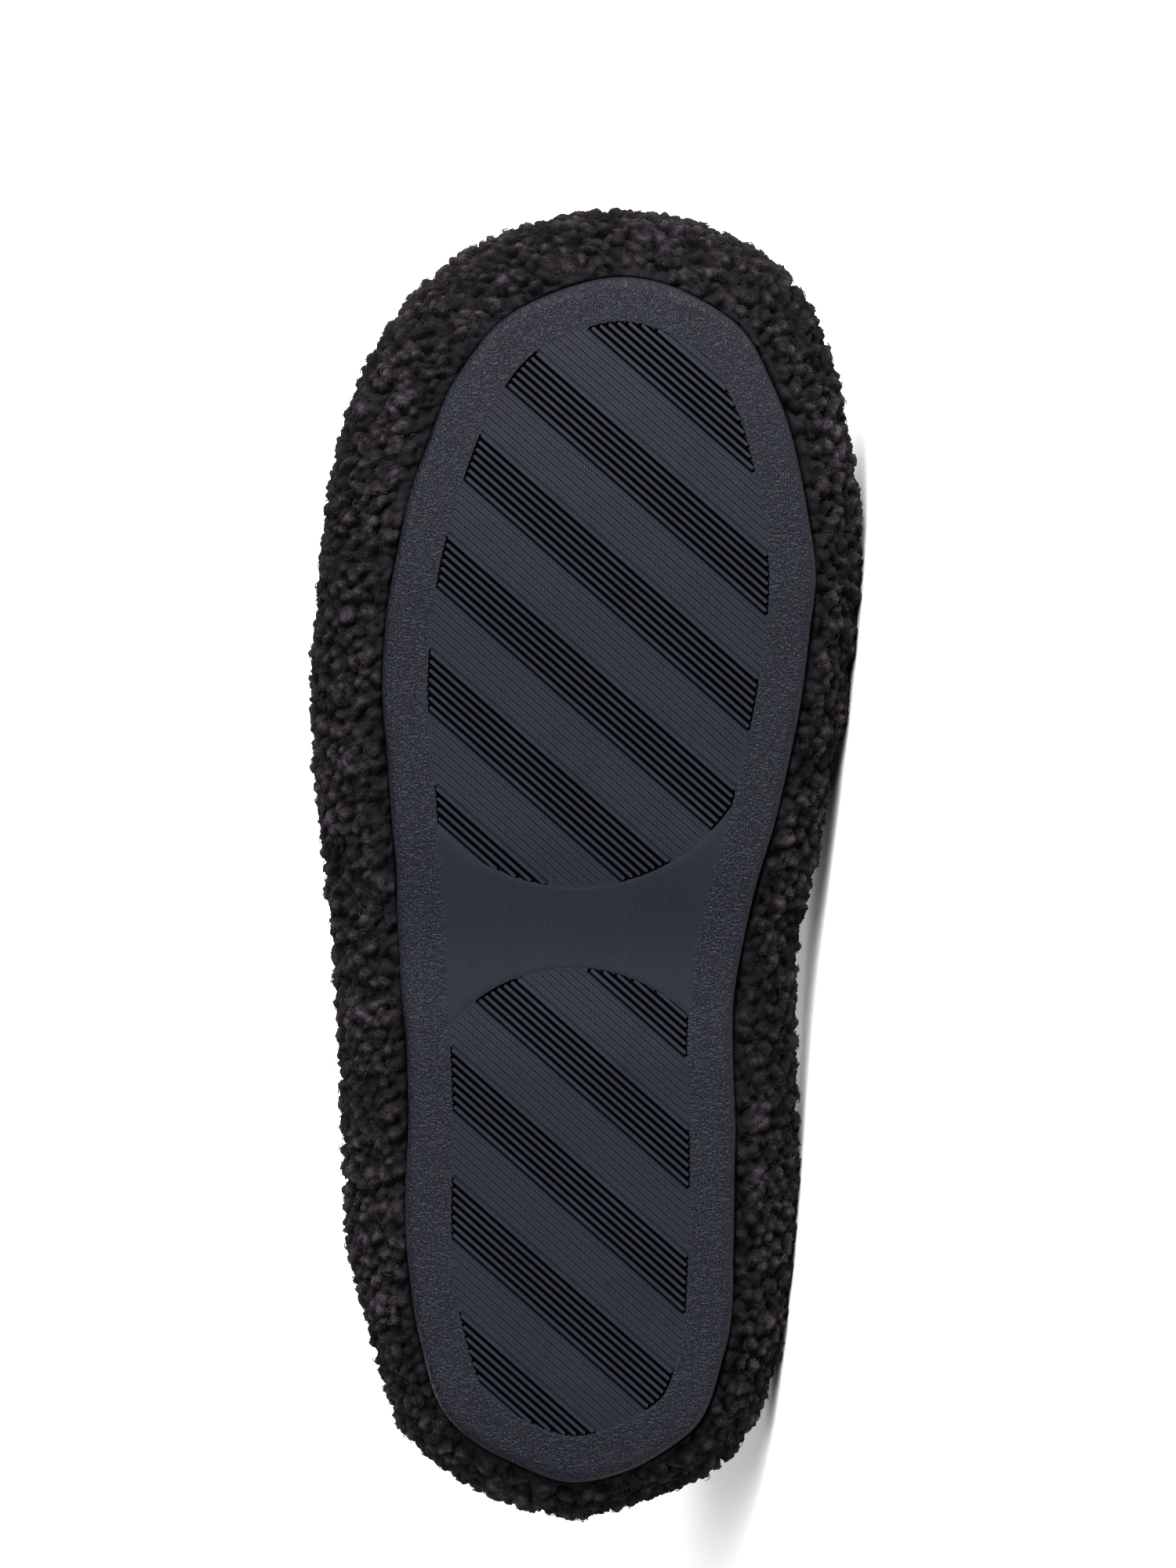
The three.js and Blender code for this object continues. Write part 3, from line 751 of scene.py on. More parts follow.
def fleece_band(name, around, rows, low_end, high_end):
    """One closed band of the fleece, from the sole to past the bulge or from there to the rim.

    Its ends are places past the bulge, or none at the sole and at the rim. Its back lies inside
    the wall. The two bands lap and share one pile.
    """
    at = even_stations(around, FLEECE_OVERHANG)

    def stretch(lines, bulge, count):
        start = None if low_end is None else bulge + low_end
        stop = None if high_end is None else bulge + high_end
        return resample(lines, count, start, stop).transpose(1, 0, 2)

    skin = stretch(*upper_lines(at, 0.0), rows)
    back = stretch(*upper_lines(at, WALL_THICKNESS * BACK_DEPTH), BACK_ROWS)
    from_edge = np.full(skin.shape[:2], AWAY_FROM_EDGE)
    if low_end is None:
        steps = np.linalg.norm(np.diff(skin, axis=0), axis=2)
        from_edge = np.concatenate([np.zeros((1, around)), np.cumsum(steps, axis=0)])
    raised, normals, shade = raise_pile(skin, from_edge)
    if low_end is None:
        # The first row stays under the sole's edge
        raised[0] = skin[0]
    piece = closed_skin(name, raised, back, FLEECE)
    # The pile's painted shade goes to the wool's colour; the back gets none
    set_value(piece, "pile", np.concatenate([shade, np.zeros(back.shape[:2])]))
    declare(piece, "upper")
    return raised, normals, shade


# The lining's short pile: the size of its tufts, their height and how far they lie sunk
LINING_TUFT = 3.4
LINING_PILE = 0.9
LINING_SUNK = 0.8


def make_lining():
    """The upper's inside: short even pile, from the footbed up to the rim."""
    at = even_stations(560, FLEECE_OVERHANG)
    inside, _ = upper_lines(at, WALL_THICKNESS)
    middle, _ = upper_lines(at, WALL_THICKNESS / 2)
    inside = resample(inside, 44).transpose(1, 0, 2)[:, ::-1]
    middle = resample(middle, BACK_ROWS).transpose(1, 0, 2)[:, ::-1]
    normals = grid_normals(inside)
    own_tufts = tufts(inside.reshape(-1, 3), LINING_TUFT, 51).reshape(inside.shape[:2])
    height = LINING_PILE * own_tufts - LINING_SUNK
    rows = np.arange(len(inside))
    # The pile fades over three rows at the footbed and at the rim
    amount = np.clip(np.minimum(rows - 1, len(inside) - 1 - rows) / 3, 0, 1)[:, None]
    raised = inside + normals * (height * amount)[:, :, None]
    piece = closed_skin("fleece_lining", raised, middle, LINING)
    # Painted shade: the lining's colour is darker where its pile is low, between the tufts
    shade = np.clip(height + LINING_SUNK, 0, 1)
    set_value(piece, "pile", np.concatenate([shade, np.zeros(middle.shape[:2])]))
    return declare(piece, "upper")


def strands_at(places, normals, random, size):
    """Short spirals of wool as closed three-sided tubes, many at once.

    Each turns round a point on the surface with a shrinking radius, starts and ends in the
    pile, rises over it by a half sine, and swells by a half sine from tip to tip.
    """
    count, steps = len(places), 4
    s = np.linspace(0, 1, steps)[None, :]
    helper = random.normal(size=(count, 3))
    first = np.cross(normals, helper)
    first /= np.linalg.norm(first, axis=1)[:, None]
    second = np.cross(normals, first)
    angle = random.uniform(2.2, 4.6, (count, 1)) * s
    radius = random.uniform(0.5, 1.3, (count, 1)) * size * (1 - 0.45 * s)
    rise = random.uniform(0.15, 0.5, (count, 1)) * size * np.sin(np.pi * s) - 0.15
    drift = random.uniform(-1.2, 1.2, (count, 1)) * size * (s - 0.5)
    path = places[:, None, :] + first[:, None, :] * (radius * np.cos(angle) + drift)[:, :, None]
    path += second[:, None, :] * (radius * np.sin(angle))[:, :, None]
    path += normals[:, None, :] * rise[:, :, None]
    along = np.gradient(path, axis=1)
    along /= np.linalg.norm(along, axis=2)[:, :, None]
    side = np.cross(along, normals[:, None, :])
    side /= np.maximum(np.linalg.norm(side, axis=2), 1e-6)[:, :, None]
    upward = np.cross(side, along)
    half = random.uniform(0.09, 0.17, (count, 1)) * (0.35 + 0.65 * np.sin(np.pi * s))
    corners = -np.arange(3) * 2 * np.pi / 3
    ring = (side[:, :, None, :] * np.sin(corners)[None, None, :, None]
            + upward[:, :, None, :] * np.cos(corners)[None, None, :, None])
    points = path[:, :, None, :] + ring * half[:, :, None, None]
    last = 3 * steps - 1
    one = np.concatenate([grid_faces(steps, 3), [[0, 1, 2], [last, last - 1, last - 2]]])
    faces = (one[None] + (np.arange(count) * 3 * steps)[:, None, None]).reshape(-1, 3)
    return points.reshape(-1, 3), faces


# No curl grows from the rows next to the sole
BARE_ROWS = 3


def make_curls(raised, normals, shade, name, count, seed, size):
    """Curls over the pile, spread by area and more of them where a tuft stands up."""
    random = np.random.default_rng(seed)
    columns = raised.shape[1]
    faces = grid_faces(*raised.shape[:2])
    faces = faces[faces.min(axis=1) // columns >= BARE_ROWS]
    points = raised.reshape(-1, 3)
    corners = points[faces]
    first_side, second_side = corners[:, 1] - corners[:, 0], corners[:, 2] - corners[:, 0]
    area = np.linalg.norm(np.cross(first_side, second_side), axis=1)
    height = shade.ravel()[faces].mean(axis=1)
    share = area * (0.12 + height**1.5)
    chosen = random.choice(len(faces), size=count, p=share / share.sum())
    weights = random.dirichlet((1, 1, 1), count)
    places = np.einsum("nk,nkc->nc", weights, corners[chosen])
    around = np.einsum("nk,nkc->nc", weights, normals.reshape(-1, 3)[faces[chosen]])
    around += random.normal(scale=0.25, size=around.shape)
    around /= np.linalg.norm(around, axis=1)[:, None]
    points, strand_faces = strands_at(places, around, random, size)
    piece = finish_mesh(name, points, strand_faces, CURLS)
    # Each curl's colour: painted shade from the pile under it, with a random tone
    own = np.clip(0.8 * height[chosen] + random.uniform(-0.15, 0.2, count), 0, 1)
    set_value(piece, "shade", np.repeat(own, len(points) // count))
    return declare(piece)


# The outsole

# Directions in which a zone's outline is measured from its centre
DIRECTIONS = 1440
# A rib's top: its edge lies lower than its middle, and its walls lean out by a hair
RIB_WALL_RUN = 0.04
RIB_SHOULDER = 0.07
RIB_EDGE_HEIGHT = -0.07
RIB_SHOULDER_HEIGHT = 0.03
RIB_MIDDLE_HEIGHT = 0.05
# Ribs whose middle line is shorter than this, or that lie nearer the zone's ends, are left out
SHORTEST_RIB = 2.4
SHORTEST_ROW = 1.0
END_ROOM = 0.3
# How far the fine lines fade, at the round end and at the border
ARC_FADE = 1.4
BORDER_FADE = 0.3
# A zone is a slab of this thickness, a hair under the plate's face, which laps over it
SLAB_THICKNESS = 1.7
SLAB_SUNK = 0.01
# Places at each end of a row, from where its rib begins, and their largest share of its width
RIB_END_STEPS = np.array([-0.05, 0.0, 0.07, 0.4, 0.8, 1.3, 2.2])
END_SHARE = 0.46
# Columns between a row's two ends
TREAD_COLUMNS = 14
# Unit steps: along the ribs, outwards and to the toe, and across them, outwards and to the heel
ALONG_RIBS = np.array([np.sin(RIB_ANGLE), np.cos(RIB_ANGLE)])
ACROSS_RIBS = np.array([ALONG_RIBS[1], -ALONG_RIBS[0]])


def zone_outline(zone, lap=0.0):
    """A tread zone's outline as seen from its centre.

    In each direction it is the nearer of the sole's outline, moved in by the border, and of the
    round end's arc, which bounds the zone on its waist side. Both are moved in by the lap.
    """
    inset = even_stations(1600).place(-(TREAD_INSET + lap), 0.0)[:, :2] - zone["centre"]
    angle = np.arctan2(inset[:, 1], inset[:, 0])
    order = np.argsort(angle)
    wanted = np.linspace(-np.pi, np.pi, DIRECTIONS, endpoint=False)
    reach = np.linalg.norm(inset, axis=1)[order]
    distance = np.interp(wanted, angle[order], reach, period=2 * np.pi)
    faces_waist = np.sin(wanted) < 0 if zone["towards toe"] else np.sin(wanted) > 0
    distance = np.where(faces_waist, np.minimum(distance, zone["radius"] - lap), distance)
    return wanted, distance


def tread_profile(zone):
    """The tread's profile over one period, from the first rib's middle line on.

    Given are the places where it bends, their heights over the sole's face, and 1 for those in
    the band of ribs. A rib has a nearly flat top and steep walls down to the grooves, and the
    two outer ribs are a little wider, with a shallower groove outside each. Between the bands
    are plain stripes. Each rises a little towards its heel side, and a sharp line parts it from
    the next.
    """
    pitch = zone["period"] / RIBS_IN_PERIOD
    places, heights = [], []
    last = RIBS_IN_BAND - 1
    for rib in range(RIBS_IN_BAND):
        half = OUTER_RIB_HALF_WIDTH if rib in (0, last) else RIB_HALF_WIDTH
        before = OUTLINE_GROOVE_DEPTH if rib == 0 else GROOVE_DEPTH
        after = OUTLINE_GROOVE_DEPTH if rib == last else GROOVE_DEPTH
        shoulder = half - RIB_SHOULDER
        foot = half + RIB_WALL_RUN
        places += [rib * pitch + x for x in (-foot, -half, -shoulder, 0, shoulder, half, foot)]
        heights += [-before, RIB_EDGE_HEIGHT, RIB_SHOULDER_HEIGHT, RIB_MIDDLE_HEIGHT]
        heights += [RIB_SHOULDER_HEIGHT, RIB_EDGE_HEIGHT, -after]
    for stripe in range(RIBS_IN_BAND, RIBS_IN_PERIOD - 1):
        line = (stripe + 0.5) * pitch
        places += [line + x for x in (-0.5, -0.36, -LINE_WIDTH / 2, 0, LINE_WIDTH / 2)]
        heights += [0.0, 0.04, 0.07, -LINE_DEPTH, -0.02]
    # The outer edges of the shallow grooves on both sides of the band
    groove = OUTER_RIB_HALF_WIDTH + OUTLINE_GROOVE_WIDTH
    band_end, band_start = last * pitch + groove, zone["period"] - groove
    places += [band_end, band_end + 0.07]
    heights += [-OUTLINE_GROOVE_DEPTH, -0.02]
    places += [band_start - 0.12, band_start - 0.05, band_start]
    heights += [0.03, 0.04, -OUTLINE_GROOVE_DEPTH]
    order = np.argsort(places)
    places, heights = np.array(places)[order], np.array(heights)[order]
    in_band = (places <= band_end + 0.01) | (places >= band_start - 0.01)
    return places, heights, in_band.astype(float)


def tread_rows(zone, low, high):
    """The rows across a zone from low to high: one at each bend of the profile, four at each end.

    Given for each are its place across, its place in the period, the profile's height there,
    and whether it lies in the band of ribs.
    """
    places, heights, in_band = tread_profile(zone)
    period = zone["period"]
    repeats = np.arange(-2, 9)[:, None] * period + zone["first rib"]
    near_end = np.array([0, 0.05, 0.13, 0.26])
    rows = np.concatenate([(places + repeats).ravel(), low + near_end, high - near_end])
    rows = np.unique(rows[(rows >= low) & (rows <= high)])
    in_period = np.mod(rows - zone["first rib"], period)
    profile = np.interp(in_period, places, heights, period=period)
    ribbed = np.interp(in_period, places, in_band, period=period) > 0.5
    return rows, in_period, profile, ribbed


def nearest_ribs(zone, in_period):
    """How far beside its nearest rib's middle line each row lies, and half that rib's width."""
    pitch = zone["period"] / RIBS_IN_PERIOD
    rib = np.clip(np.round(in_period / pitch), 0, RIBS_IN_BAND - 1)
    rib = np.where(in_period > zone["period"] - pitch, RIBS_IN_PERIOD, rib)
    is_outer = (rib == 0) | (rib >= RIBS_IN_BAND - 1)
    return in_period - rib * pitch, np.where(is_outer, OUTER_RIB_HALF_WIDTH, RIB_HALF_WIDTH)


def row_ends(outline, rows):
    """Where the lines along the ribs at those places across them enter and leave an outline."""
    along, across = outline @ ALONG_RIBS, outline @ ACROSS_RIBS
    run = np.roll(along, -1) - along
    rise = np.roll(across, -1) - across
    share = (rows[:, None] - across) / np.where(rise == 0, 1e-9, rise)
    crossing = (share >= 0) & (share <= 1)
    where = along + share * run
    starts = np.min(np.where(crossing, where, np.inf), axis=1)
    return starts, np.max(np.where(crossing, where, -np.inf), axis=1)


def end_steps(width, slot, inset):
    """Places on each row from its end inwards: outside the slot, its wall, then the rib's end.

    A short row's places are drawn in, so that both ends leave room for the rest.
    """
    wall = np.stack([np.zeros(len(width)), np.maximum(slot - 0.03, 0.01), slot + 0.03], axis=1)
    rib = inset[:, None] + RIB_END_STEPS
    steps = np.concatenate([wall, rib], axis=1)
    return steps * np.minimum(1, END_SHARE * width / steps[:, -1])[:, None]


def fade_length(zone, points):
    """Over how far the fine lines fade from their ends, at the round end and at the border."""
    apart = points - zone["centre"]
    on_arc = np.linalg.norm(apart, axis=1) < zone["radius"] + 0.02
    on_arc &= (apart[:, 1] < 0) == zone["towards toe"]
    return np.where(on_arc, ARC_FADE, BORDER_FADE)[:, None]


def tread_grid(zone, outline, columns):
    """Rows across a zone, parallel to the ribs and from outline to outline, and their heights.

    Each rib lies in a sunk slot that ends square where the rib's middle line meets the outline.
    The rib ends round a little before: half its width less the root of that squared less the
    place beside the middle line squared. The zone is plain outside the slots. The fine lines
    fade out at both ends. Also given is where the ribs are.
    """
    across = outline @ ACROSS_RIBS
    low, high = across.min() + 0.02, across.max() - 0.02
    rows, in_period, profile, ribbed = tread_rows(zone, low, high)
    starts, ends = row_ends(outline, rows)
    width = ends - starts
    sideways, half = nearest_ribs(zone, in_period)
    middle = rows - sideways
    rib_starts, rib_ends = row_ends(outline, np.clip(middle, low, high))
    has_rib = ribbed & (middle > low + END_ROOM) & (middle < high - END_ROOM)
    has_rib &= rib_ends - rib_starts > SHORTEST_RIB

    # How far in from the row's ends the slot and the rib begin
    slot_start = np.where(has_rib, np.maximum(rib_starts - starts, 0), 0)
    slot_end = np.where(has_rib, np.maximum(ends - rib_ends, 0), 0)
    inset = RIB_END_GAP + half - np.sqrt(np.maximum(half**2 - sideways**2, 0))
    on_rib = has_rib & (np.abs(sideways) < half + 0.001)
    first = np.where(on_rib, np.maximum(rib_starts + inset - starts, 0.2), slot_start + 0.2)
    second = np.where(on_rib, np.maximum(ends - rib_ends + inset, 0.2), slot_end + 0.2)
    on_rib &= width - first - second > SHORTEST_ROW

    # The slot's floor: deep between the ribs, and as the profile says outside the outer ones
    last_rib = (RIBS_IN_BAND - 1) * zone["period"] / RIBS_IN_PERIOD
    floor_height = np.where(ribbed & (in_period < last_rib + 0.5), -GROOVE_DEPTH, profile)
    floor_height = np.where(ribbed & ~has_rib, 0, floor_height)

    before, after = end_steps(width, slot_start, first), end_steps(width, slot_end, second)
    room = width[:, None] - before[:, -1:] - after[:, -1:]
    between = before[:, -1:] + room * np.linspace(0, 1, columns)[1:-1]
    steps = np.concatenate([before, between, width[:, None] - after[:, ::-1]], axis=1)
    place = starts[:, None] + steps
    across_row = np.ones_like(place)
    rib_height = np.where(on_rib[:, None], profile[:, None], floor_height[:, None]) * across_row
    for slot, from_end in ((slot_start, range(5)), (slot_end, range(-1, -6, -1))):
        outside, wall, floor, foot, top = from_end
        rib_height[:, [outside, wall]] = np.where(slot > 0.06, 0, floor_height)[:, None]
        rib_height[:, [floor, foot]] = floor_height[:, None]
        rib_top = np.minimum(profile, RIB_EDGE_HEIGHT)
        rib_height[:, top] = np.where(on_rib, rib_top, rib_height[:, top])

    aside = rows[:, None] * ACROSS_RIBS
    start_fade = fade_length(zone, starts[:, None] * ALONG_RIBS + aside)
    end_fade = fade_length(zone, ends[:, None] * ALONG_RIBS + aside)
    line_height = profile[:, None] * smooth((place - starts[:, None]) / start_fade)
    line_height *= smooth((ends[:, None] - place) / end_fade)
    flat = place[:, :, None] * ALONG_RIBS + aside[:, None, :]
    return flat, np.where(ribbed[:, None], rib_height, line_height), ribbed[:, None] * across_row


def slab_faces(rows, columns):
    """Triangles of a closed slab: a grid, a wall round it, and its back as a fan.

    The face's points come first, then the back's in the same order, then the back's middle.
    """
    count = rows * columns
    rim = np.concatenate([
        np.arange(columns), np.arange(1, rows) * columns + columns - 1,
        (rows - 1) * columns + np.arange(columns - 2, -1, -1), np.arange(rows - 2, 0, -1) * columns,
    ])
    after = np.roll(rim, -1)
    middle = np.full(len(rim), 2 * count)
    return np.concatenate([
        grid_faces(rows, columns, around=False),
        np.stack([rim, after, after + count], axis=1),
        np.stack([rim, after + count, rim + count], axis=1),
        np.stack([rim + count, after + count, middle], axis=1),
    ])[:, ::-1]


def make_tread(name, zone):
    """A zone of the tread as a closed slab: a ribbed face, upright sides and a plain back."""
    centre = np.array(zone["centre"])
    angle, distance = zone_outline(zone)
    outline = centre + np.stack([np.cos(angle), np.sin(angle)], axis=1) * distance[:, None]
    flat, height, ribbed = tread_grid(zone, outline, TREAD_COLUMNS)
    height = height - SLAB_SUNK
    ground = lift(flat[:, :, 1])
    face = np.concatenate([flat, (ground - height)[:, :, None]], axis=2)
    back = np.concatenate([flat, (ground + SLAB_THICKNESS)[:, :, None]], axis=2)
    middle = np.array([[*centre, lift(centre[1]) + SLAB_THICKNESS]])
    points = np.concatenate([face.reshape(-1, 3), back.reshape(-1, 3), middle])
    used, again = np.unique(slab_faces(*flat.shape[:2]), return_inverse=True)
    piece = finish_mesh(name, points[used], again.reshape(-1, 3), RUBBER, on_floor=False,
                        rounded=False)
    # The back and its middle are plain
    plain = np.zeros(len(back.reshape(-1, 3)) + 1)
    sunk = np.concatenate([-height.ravel(), plain])[used]
    # Places deeper than 0.3 mm get painted shade in the rubber's colour
    set_value(piece, "depth", smooth((sunk - 0.3) / 0.5))
    set_value(piece, "ribbed", np.concatenate([ribbed.ravel(), plain])[used])
    set_value(piece, "sideways", points[used][:, 0])
    return declare(piece, "outsole")


# The plate's rings from its edge in to a zone, and down into the zone's pocket
RINGS_TO_ZONE = 11
LIP_WIDTH = 0.1
POCKET_DEPTHS = [0.03, 0.12, 1.9, 2.2, 2.2]


def make_sole_plate():
    """The sole's border and waist as a closed plate with a pocket for each zone of the tread.

    Rings run from the middle of its top, round its side and over the ground face. There the
    last ring parts at the waist into two loops, and each runs in to a zone's outline, down
    into the pocket and to the pocket's middle.
    """
    at, rings = sole_rings(720, waver=EDGE_WAVER)
    ground = rings[-1]
    ground[:, 2] = lift(ground[:, 1])
    waist_y = WAIST_ALONG * SOLE_LENGTH
    middle = np.tile([0.0, waist_y, SOLE_THICKNESS + lift(waist_y)], (len(rings[0]), 1))
    half_way = (middle + rings[0]) / 2
    half_way[:, 2] = SOLE_THICKNESS + lift(half_way[:, 1])
    shells = [np.stack([middle, half_way] + rings)]
    ahead = np.flatnonzero(ground[:, 1] > waist_y)
    first, last = ahead[0], ahead[-1]
    share = np.linspace(0, 1, 90)[1:-1, None]
    waist = ground[last] + (ground[first] - ground[last]) * share
    waist[:, 2] = lift(waist[:, 1])
    toe_loop = np.concatenate([ground[first:last + 1], waist])
    heel_loop = np.concatenate([ground[last:], ground[:first + 1], waist[::-1]])
    for loop, zone in ((toe_loop, FOREFOOT), (heel_loop, HEEL)):
        centre = np.array(zone["centre"])
        angle, distance = zone_outline(zone, lap=PLATE_LAP)
        around = loop[:, :2] - centre
        reach = np.interp(np.arctan2(around[:, 1], around[:, 0]), angle, distance, period=2 * np.pi)
        around /= np.linalg.norm(around, axis=1)[:, None]
        edge = centre + around * reach[:, None]
        lip = centre + around * (reach + LIP_WIDTH)[:, None]
        inwards = np.linspace(0, 1, RINGS_TO_ZONE)
        flats = [loop[:, :2] + (lip - loop[:, :2]) * step for step in inwards]
        half_in = centre + around * (reach * 0.5)[:, None]
        flats += [edge, edge, edge, half_in, np.tile(centre, (len(loop), 1))]
        depths = [0.0] * RINGS_TO_ZONE + POCKET_DEPTHS
        shells.append(np.stack([
            np.column_stack([flat, lift(flat[:, 1]) + depth]) for flat, depth in zip(flats, depths)
        ]))
    points, faces, used = [], [], 0
    for grid in shells:
        points.append(grid.reshape(-1, 3))
        faces.append(grid_faces(*grid.shape[:2]) + used)
        used += grid.shape[0] * grid.shape[1]
    piece = finish_mesh("sole_plate", np.concatenate(points), np.concatenate(faces), RUBBER,
                        on_floor=False)
    clean_up(piece)
    mark_plate(piece, at)
    return declare(piece, "outsole")


def mark_plate(piece, at):
    """The plate's values for its rubber.

    "border" is 1 up to the tread's inset from the sole's edge and 0 beyond it, "depth" is 1
    inside the pockets, and "sideways" is the place across the shoe in mm.
    """
    place = np.empty(len(piece.data.vertices) * 3, dtype=np.float32)
    piece.data.vertices.foreach_get("co", place)
    own = (place.reshape(-1, 3) / MM - SHIFT) @ TURN
    set_value(piece, "sideways", own[:, 0])
    nearest = np.full(len(own), np.inf)
    # In parts, so that the table of distances stays small
    for part in np.array_split(at.edge, 12):
        apart = np.linalg.norm(own[:, None, :2] - part[None], axis=2)
        nearest = np.minimum(nearest, apart.min(axis=1))
    set_value(piece, "border", 1 - smooth((nearest - TREAD_INSET + 0.6) / 1.2))
    in_pocket = nearest > TREAD_INSET - 0.5
    # The pockets' walls and floors get painted shade: a thin black line round each zone
    set_value(piece, "depth", in_pocket * smooth((own[:, 2] - lift(own[:, 1])) / 0.1))


def clean_up(piece):
    """Merges doubled vertices, drops empty faces and turns every face outwards."""
    work = bmesh.new()
    work.from_mesh(piece.data)
    bmesh.ops.remove_doubles(work, verts=work.verts, dist=2e-6)
    bmesh.ops.dissolve_degenerate(work, edges=work.edges, dist=1e-7)
    bmesh.ops.recalc_face_normals(work, faces=work.faces)
    work.to_mesh(piece.data)
    work.free()


# The insole

# The footbed's lower edge, and how deep its top is dished
BOTTOM_EDGE_RADIUS = 1.2
TOP_DISH = 1.4
# Its pile: tufts on slow swells, sunk and then lowered as pressed wool is
FOOTBED_TUFT = 2.6
FOOTBED_SUNK = 0.7
PRESSED = 0.6


def make_insole():
    """The footbed: a pad with round edges, a top that is a shallow dish, and short pile.

    The dish is deepest in the middle and falls by 1 less the share of the way out squared.
    """
    at = even_stations(420)
    edge = -(MARGIN_THICKNESS + CLEARANCE)
    low = SOLE_THICKNESS + CLEARANCE
    seat = low + MARGIN_THICKNESS + CLEARANCE
    high = seat + INSOLE_THICKNESS
    middle = np.array([0.0, WAIST_ALONG * SOLE_LENGTH])

    def ring(outer, share, height):
        flat = middle + (outer[:, :2] - middle) * share
        return np.column_stack([flat, height + lift(flat[:, 1])])

    bottom = at.place(edge - 0.5, seat)
    rings = [ring(bottom, share, seat) for share in (0.0, 0.5)] + [bottom]
    for turn in np.linspace(-np.pi / 2, np.pi / 2, 12):
        side = INSOLE_EDGE_RADIUS if turn > 0 else BOTTOM_EDGE_RADIUS
        level = high - INSOLE_EDGE_RADIUS if turn > 0 else seat + BOTTOM_EDGE_RADIUS
        rings.append(at.place(edge + side * (np.cos(turn) - 1), level + side * np.sin(turn)))
    top = at.place(edge - INSOLE_EDGE_RADIUS, high)
    for share in np.linspace(0.97, 0.0, 30):
        rings.append(ring(top, share, high - TOP_DISH * (1 - share**2)))
    grid = np.stack(rings)
    flat = grid.reshape(-1, 3)
    height = 0.7 * tufts(flat, FOOTBED_TUFT, 61) + 0.6 * soft_noise(flat, 9.0, 62) - FOOTBED_SUNK
    normals = grid_normals(grid)
    # The pile grows from the pad's side upwards, and the top's middle point stays closed
    amount = np.clip((np.arange(len(grid)) - 6) / 6, 0, 1)
    amount[-2:] = 0
    pile = height.reshape(grid.shape[:2]) * amount[:, None]
    raised = grid + normals * pile[:, :, None] * PRESSED
    piece = finish_mesh("footbed", raised.reshape(-1, 3), grid_faces(*grid.shape[:2]), LINING)
    # The footbed's painted shade: darker where its pile is low, between the tufts
    set_value(piece, "pile", height + 0.6)
    clean_up(piece)
    declare(piece, "insole")
    return piece


# The studio

SCALE_PX_PER_MM = 6.0
FRAME_PX = (1500, 2000)
AXIS_LEAN = np.radians(2.1)
CAMERA_DISTANCE = 1.45
FLOOR_HALF = 12.0
# The middle of the picture on the sole, from the heel end along the shoe and to the outer side
AIM_ALONG = 148.4
AIM_OUTWARDS = 1.8


def make_camera():
    """Straight at the sole, with the toe up and leaning a little to the right."""
    outer, toe, up = TURN.T
    away = -up
    aim = laid(np.array([[AIM_OUTWARDS, AIM_ALONG, 0.0]]))[0]
    picture_up = np.cos(AXIS_LEAN) * toe + np.sin(AXIS_LEAN) * outer
    picture_right = np.sin(AXIS_LEAN) * toe - np.cos(AXIS_LEAN) * outer
    data = bpy.data.cameras.new("camera")
    data.sensor_fit = "VERTICAL"
    data.sensor_height = 36.0
    frame_height = FRAME_PX[1] / SCALE_PX_PER_MM * MM
    data.lens = data.sensor_height * CAMERA_DISTANCE / frame_height
    camera = bpy.data.objects.new("camera", data)
    bpy.context.collection.objects.link(camera)
    matrix = np.eye(4)
    matrix[:3, 0], matrix[:3, 1], matrix[:3, 2] = picture_right, picture_up, away
    matrix[:3, 3] = aim + away * CAMERA_DISTANCE
    camera.matrix_world = Matrix(matrix)
    bpy.context.scene.camera = camera


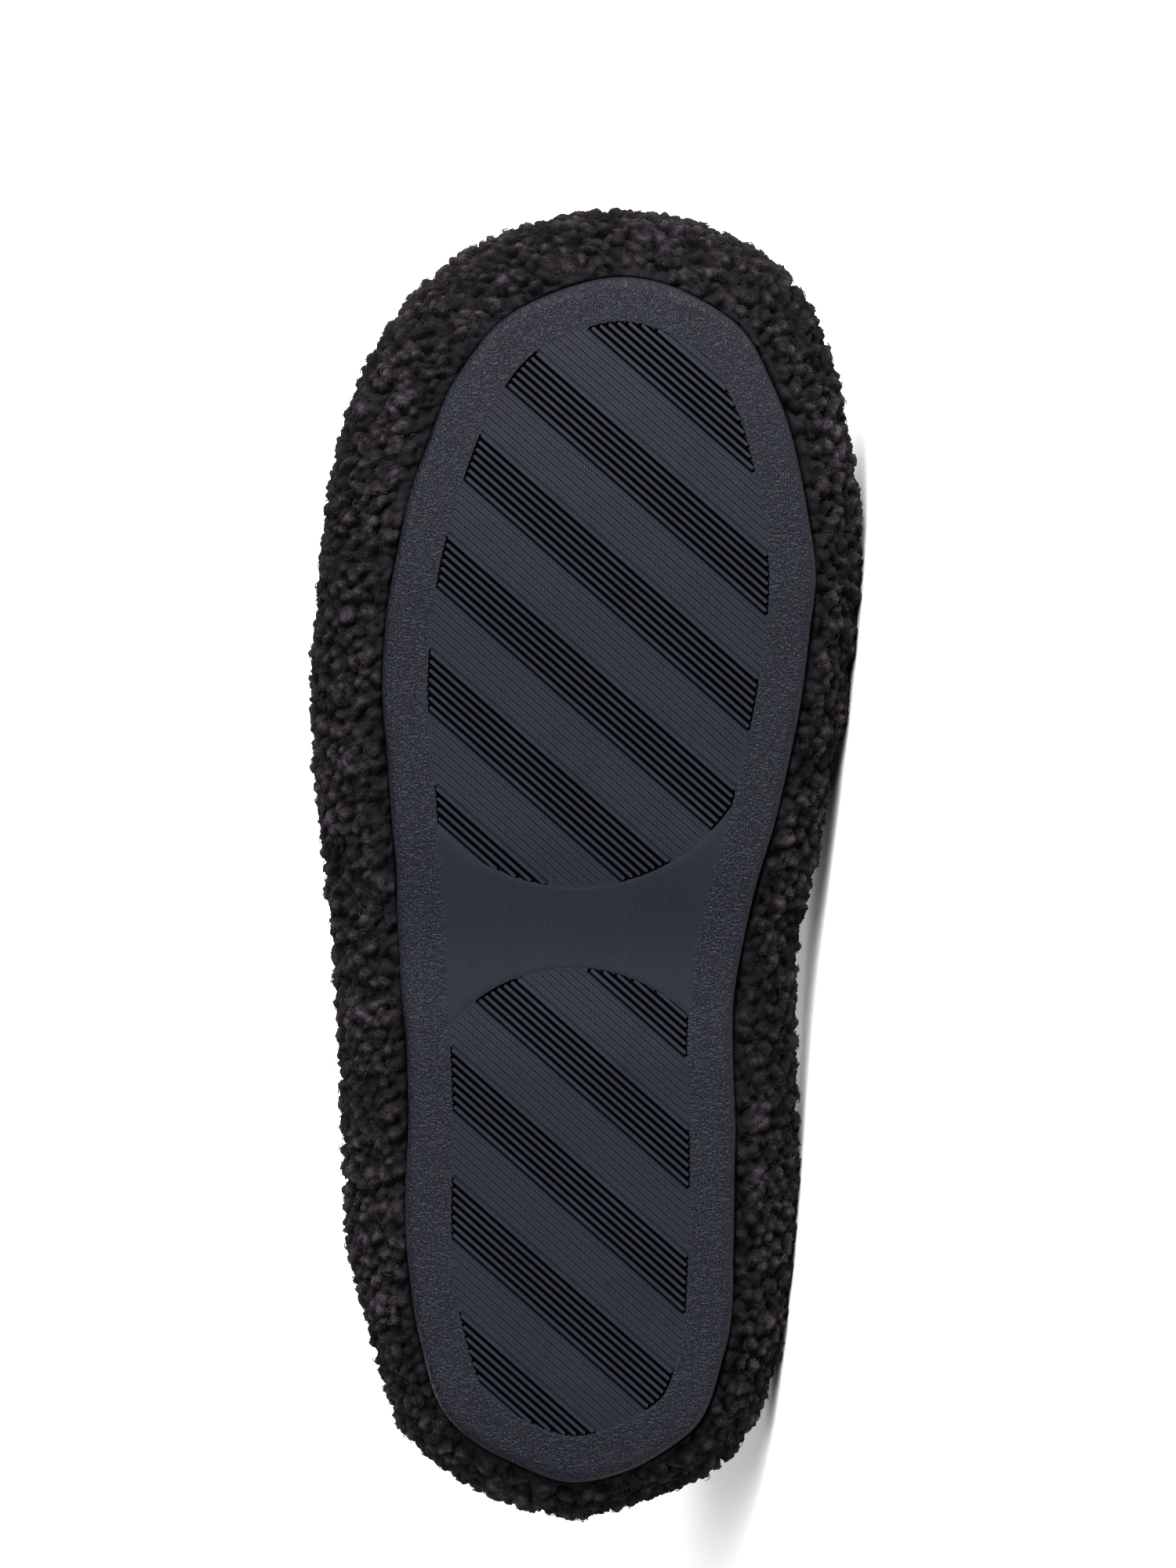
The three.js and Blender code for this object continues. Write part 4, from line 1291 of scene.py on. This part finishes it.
def area_light(name, place, target, size, power):
    """A square soft light that faces its target."""
    data = bpy.data.lights.new(name, "AREA")
    data.size = size
    data.energy = power
    light = bpy.data.objects.new(name, data)
    bpy.context.collection.objects.link(light)
    back = np.array(place, float) - np.array(target, float)
    back /= np.linalg.norm(back)
    side = np.cross((0, 0, 1), back)
    side /= np.linalg.norm(side)
    matrix = np.eye(4)
    matrix[:3, 0], matrix[:3, 1], matrix[:3, 2] = side, np.cross(back, side), back
    matrix[:3, 3] = place
    light.matrix_world = Matrix(matrix)


def make_studio():
    """A plain pale floor, an even white surround and soft lights from the toe's side."""
    mesh = bpy.data.meshes.new("floor")
    corners = [(x * FLOOR_HALF, y * FLOOR_HALF, 0) for x, y in ((-1, -1), (1, -1), (1, 1), (-1, 1))]
    mesh.from_pydata(corners, [], [(0, 1, 2, 3)])
    floor = bpy.data.objects.new("floor", mesh)
    bpy.context.collection.objects.link(floor)

    def pale(tree, shader):
        set_shader(shader, Base_Color=(*grey(0.92), 1), Roughness=0.9, Specular_IOR_Level=0.1)

    mesh.materials.append(material("floor_pale", pale))
    world = bpy.data.worlds.new("surround")
    world.use_nodes = True
    background = world.node_tree.nodes["Background"]
    background.inputs["Color"].default_value = (1, 1, 1, 1)
    background.inputs["Strength"].default_value = 0.3
    bpy.context.scene.world = world
    target = (0.0, 0.0, 0.05)
    area_light("toe_light", (3.2, -2.1, 1.0), target, size=2.2, power=560)
    area_light("back_light", (-1.2, 3.0, 1.6), target, size=2.5, power=100)
    overhead = bpy.data.lights.new("overhead_light", "SUN")
    overhead.energy = 4.0
    overhead.angle = np.radians(40)
    light = bpy.data.objects.new("overhead_light", overhead)
    light.rotation_euler = (np.radians(50), np.radians(22), 0)
    bpy.context.collection.objects.link(light)
    view = bpy.context.scene.view_settings
    view.view_transform = "Standard"
    view.look = "None"


make_camera()
make_studio()
make_sole_plate()
make_tread("forefoot_tread", FOREFOOT)
make_tread("heel_tread", HEEL)
low_pile = fleece_band("fleece_low", around=1300, rows=62, low_end=None, high_end=BANDS_MEET)
high_pile = fleece_band(
    "fleece_high", around=640, rows=74, low_end=BANDS_MEET - BANDS_LAP, high_end=None)
make_lining()
make_curls(*low_pile, "curls_low", count=9000, seed=5, size=0.8)
make_curls(*low_pile, "curls_low_more", count=9000, seed=7, size=0.6)
make_curls(*high_pile, "curls_high", count=5500, seed=6, size=0.9)
make_insole()
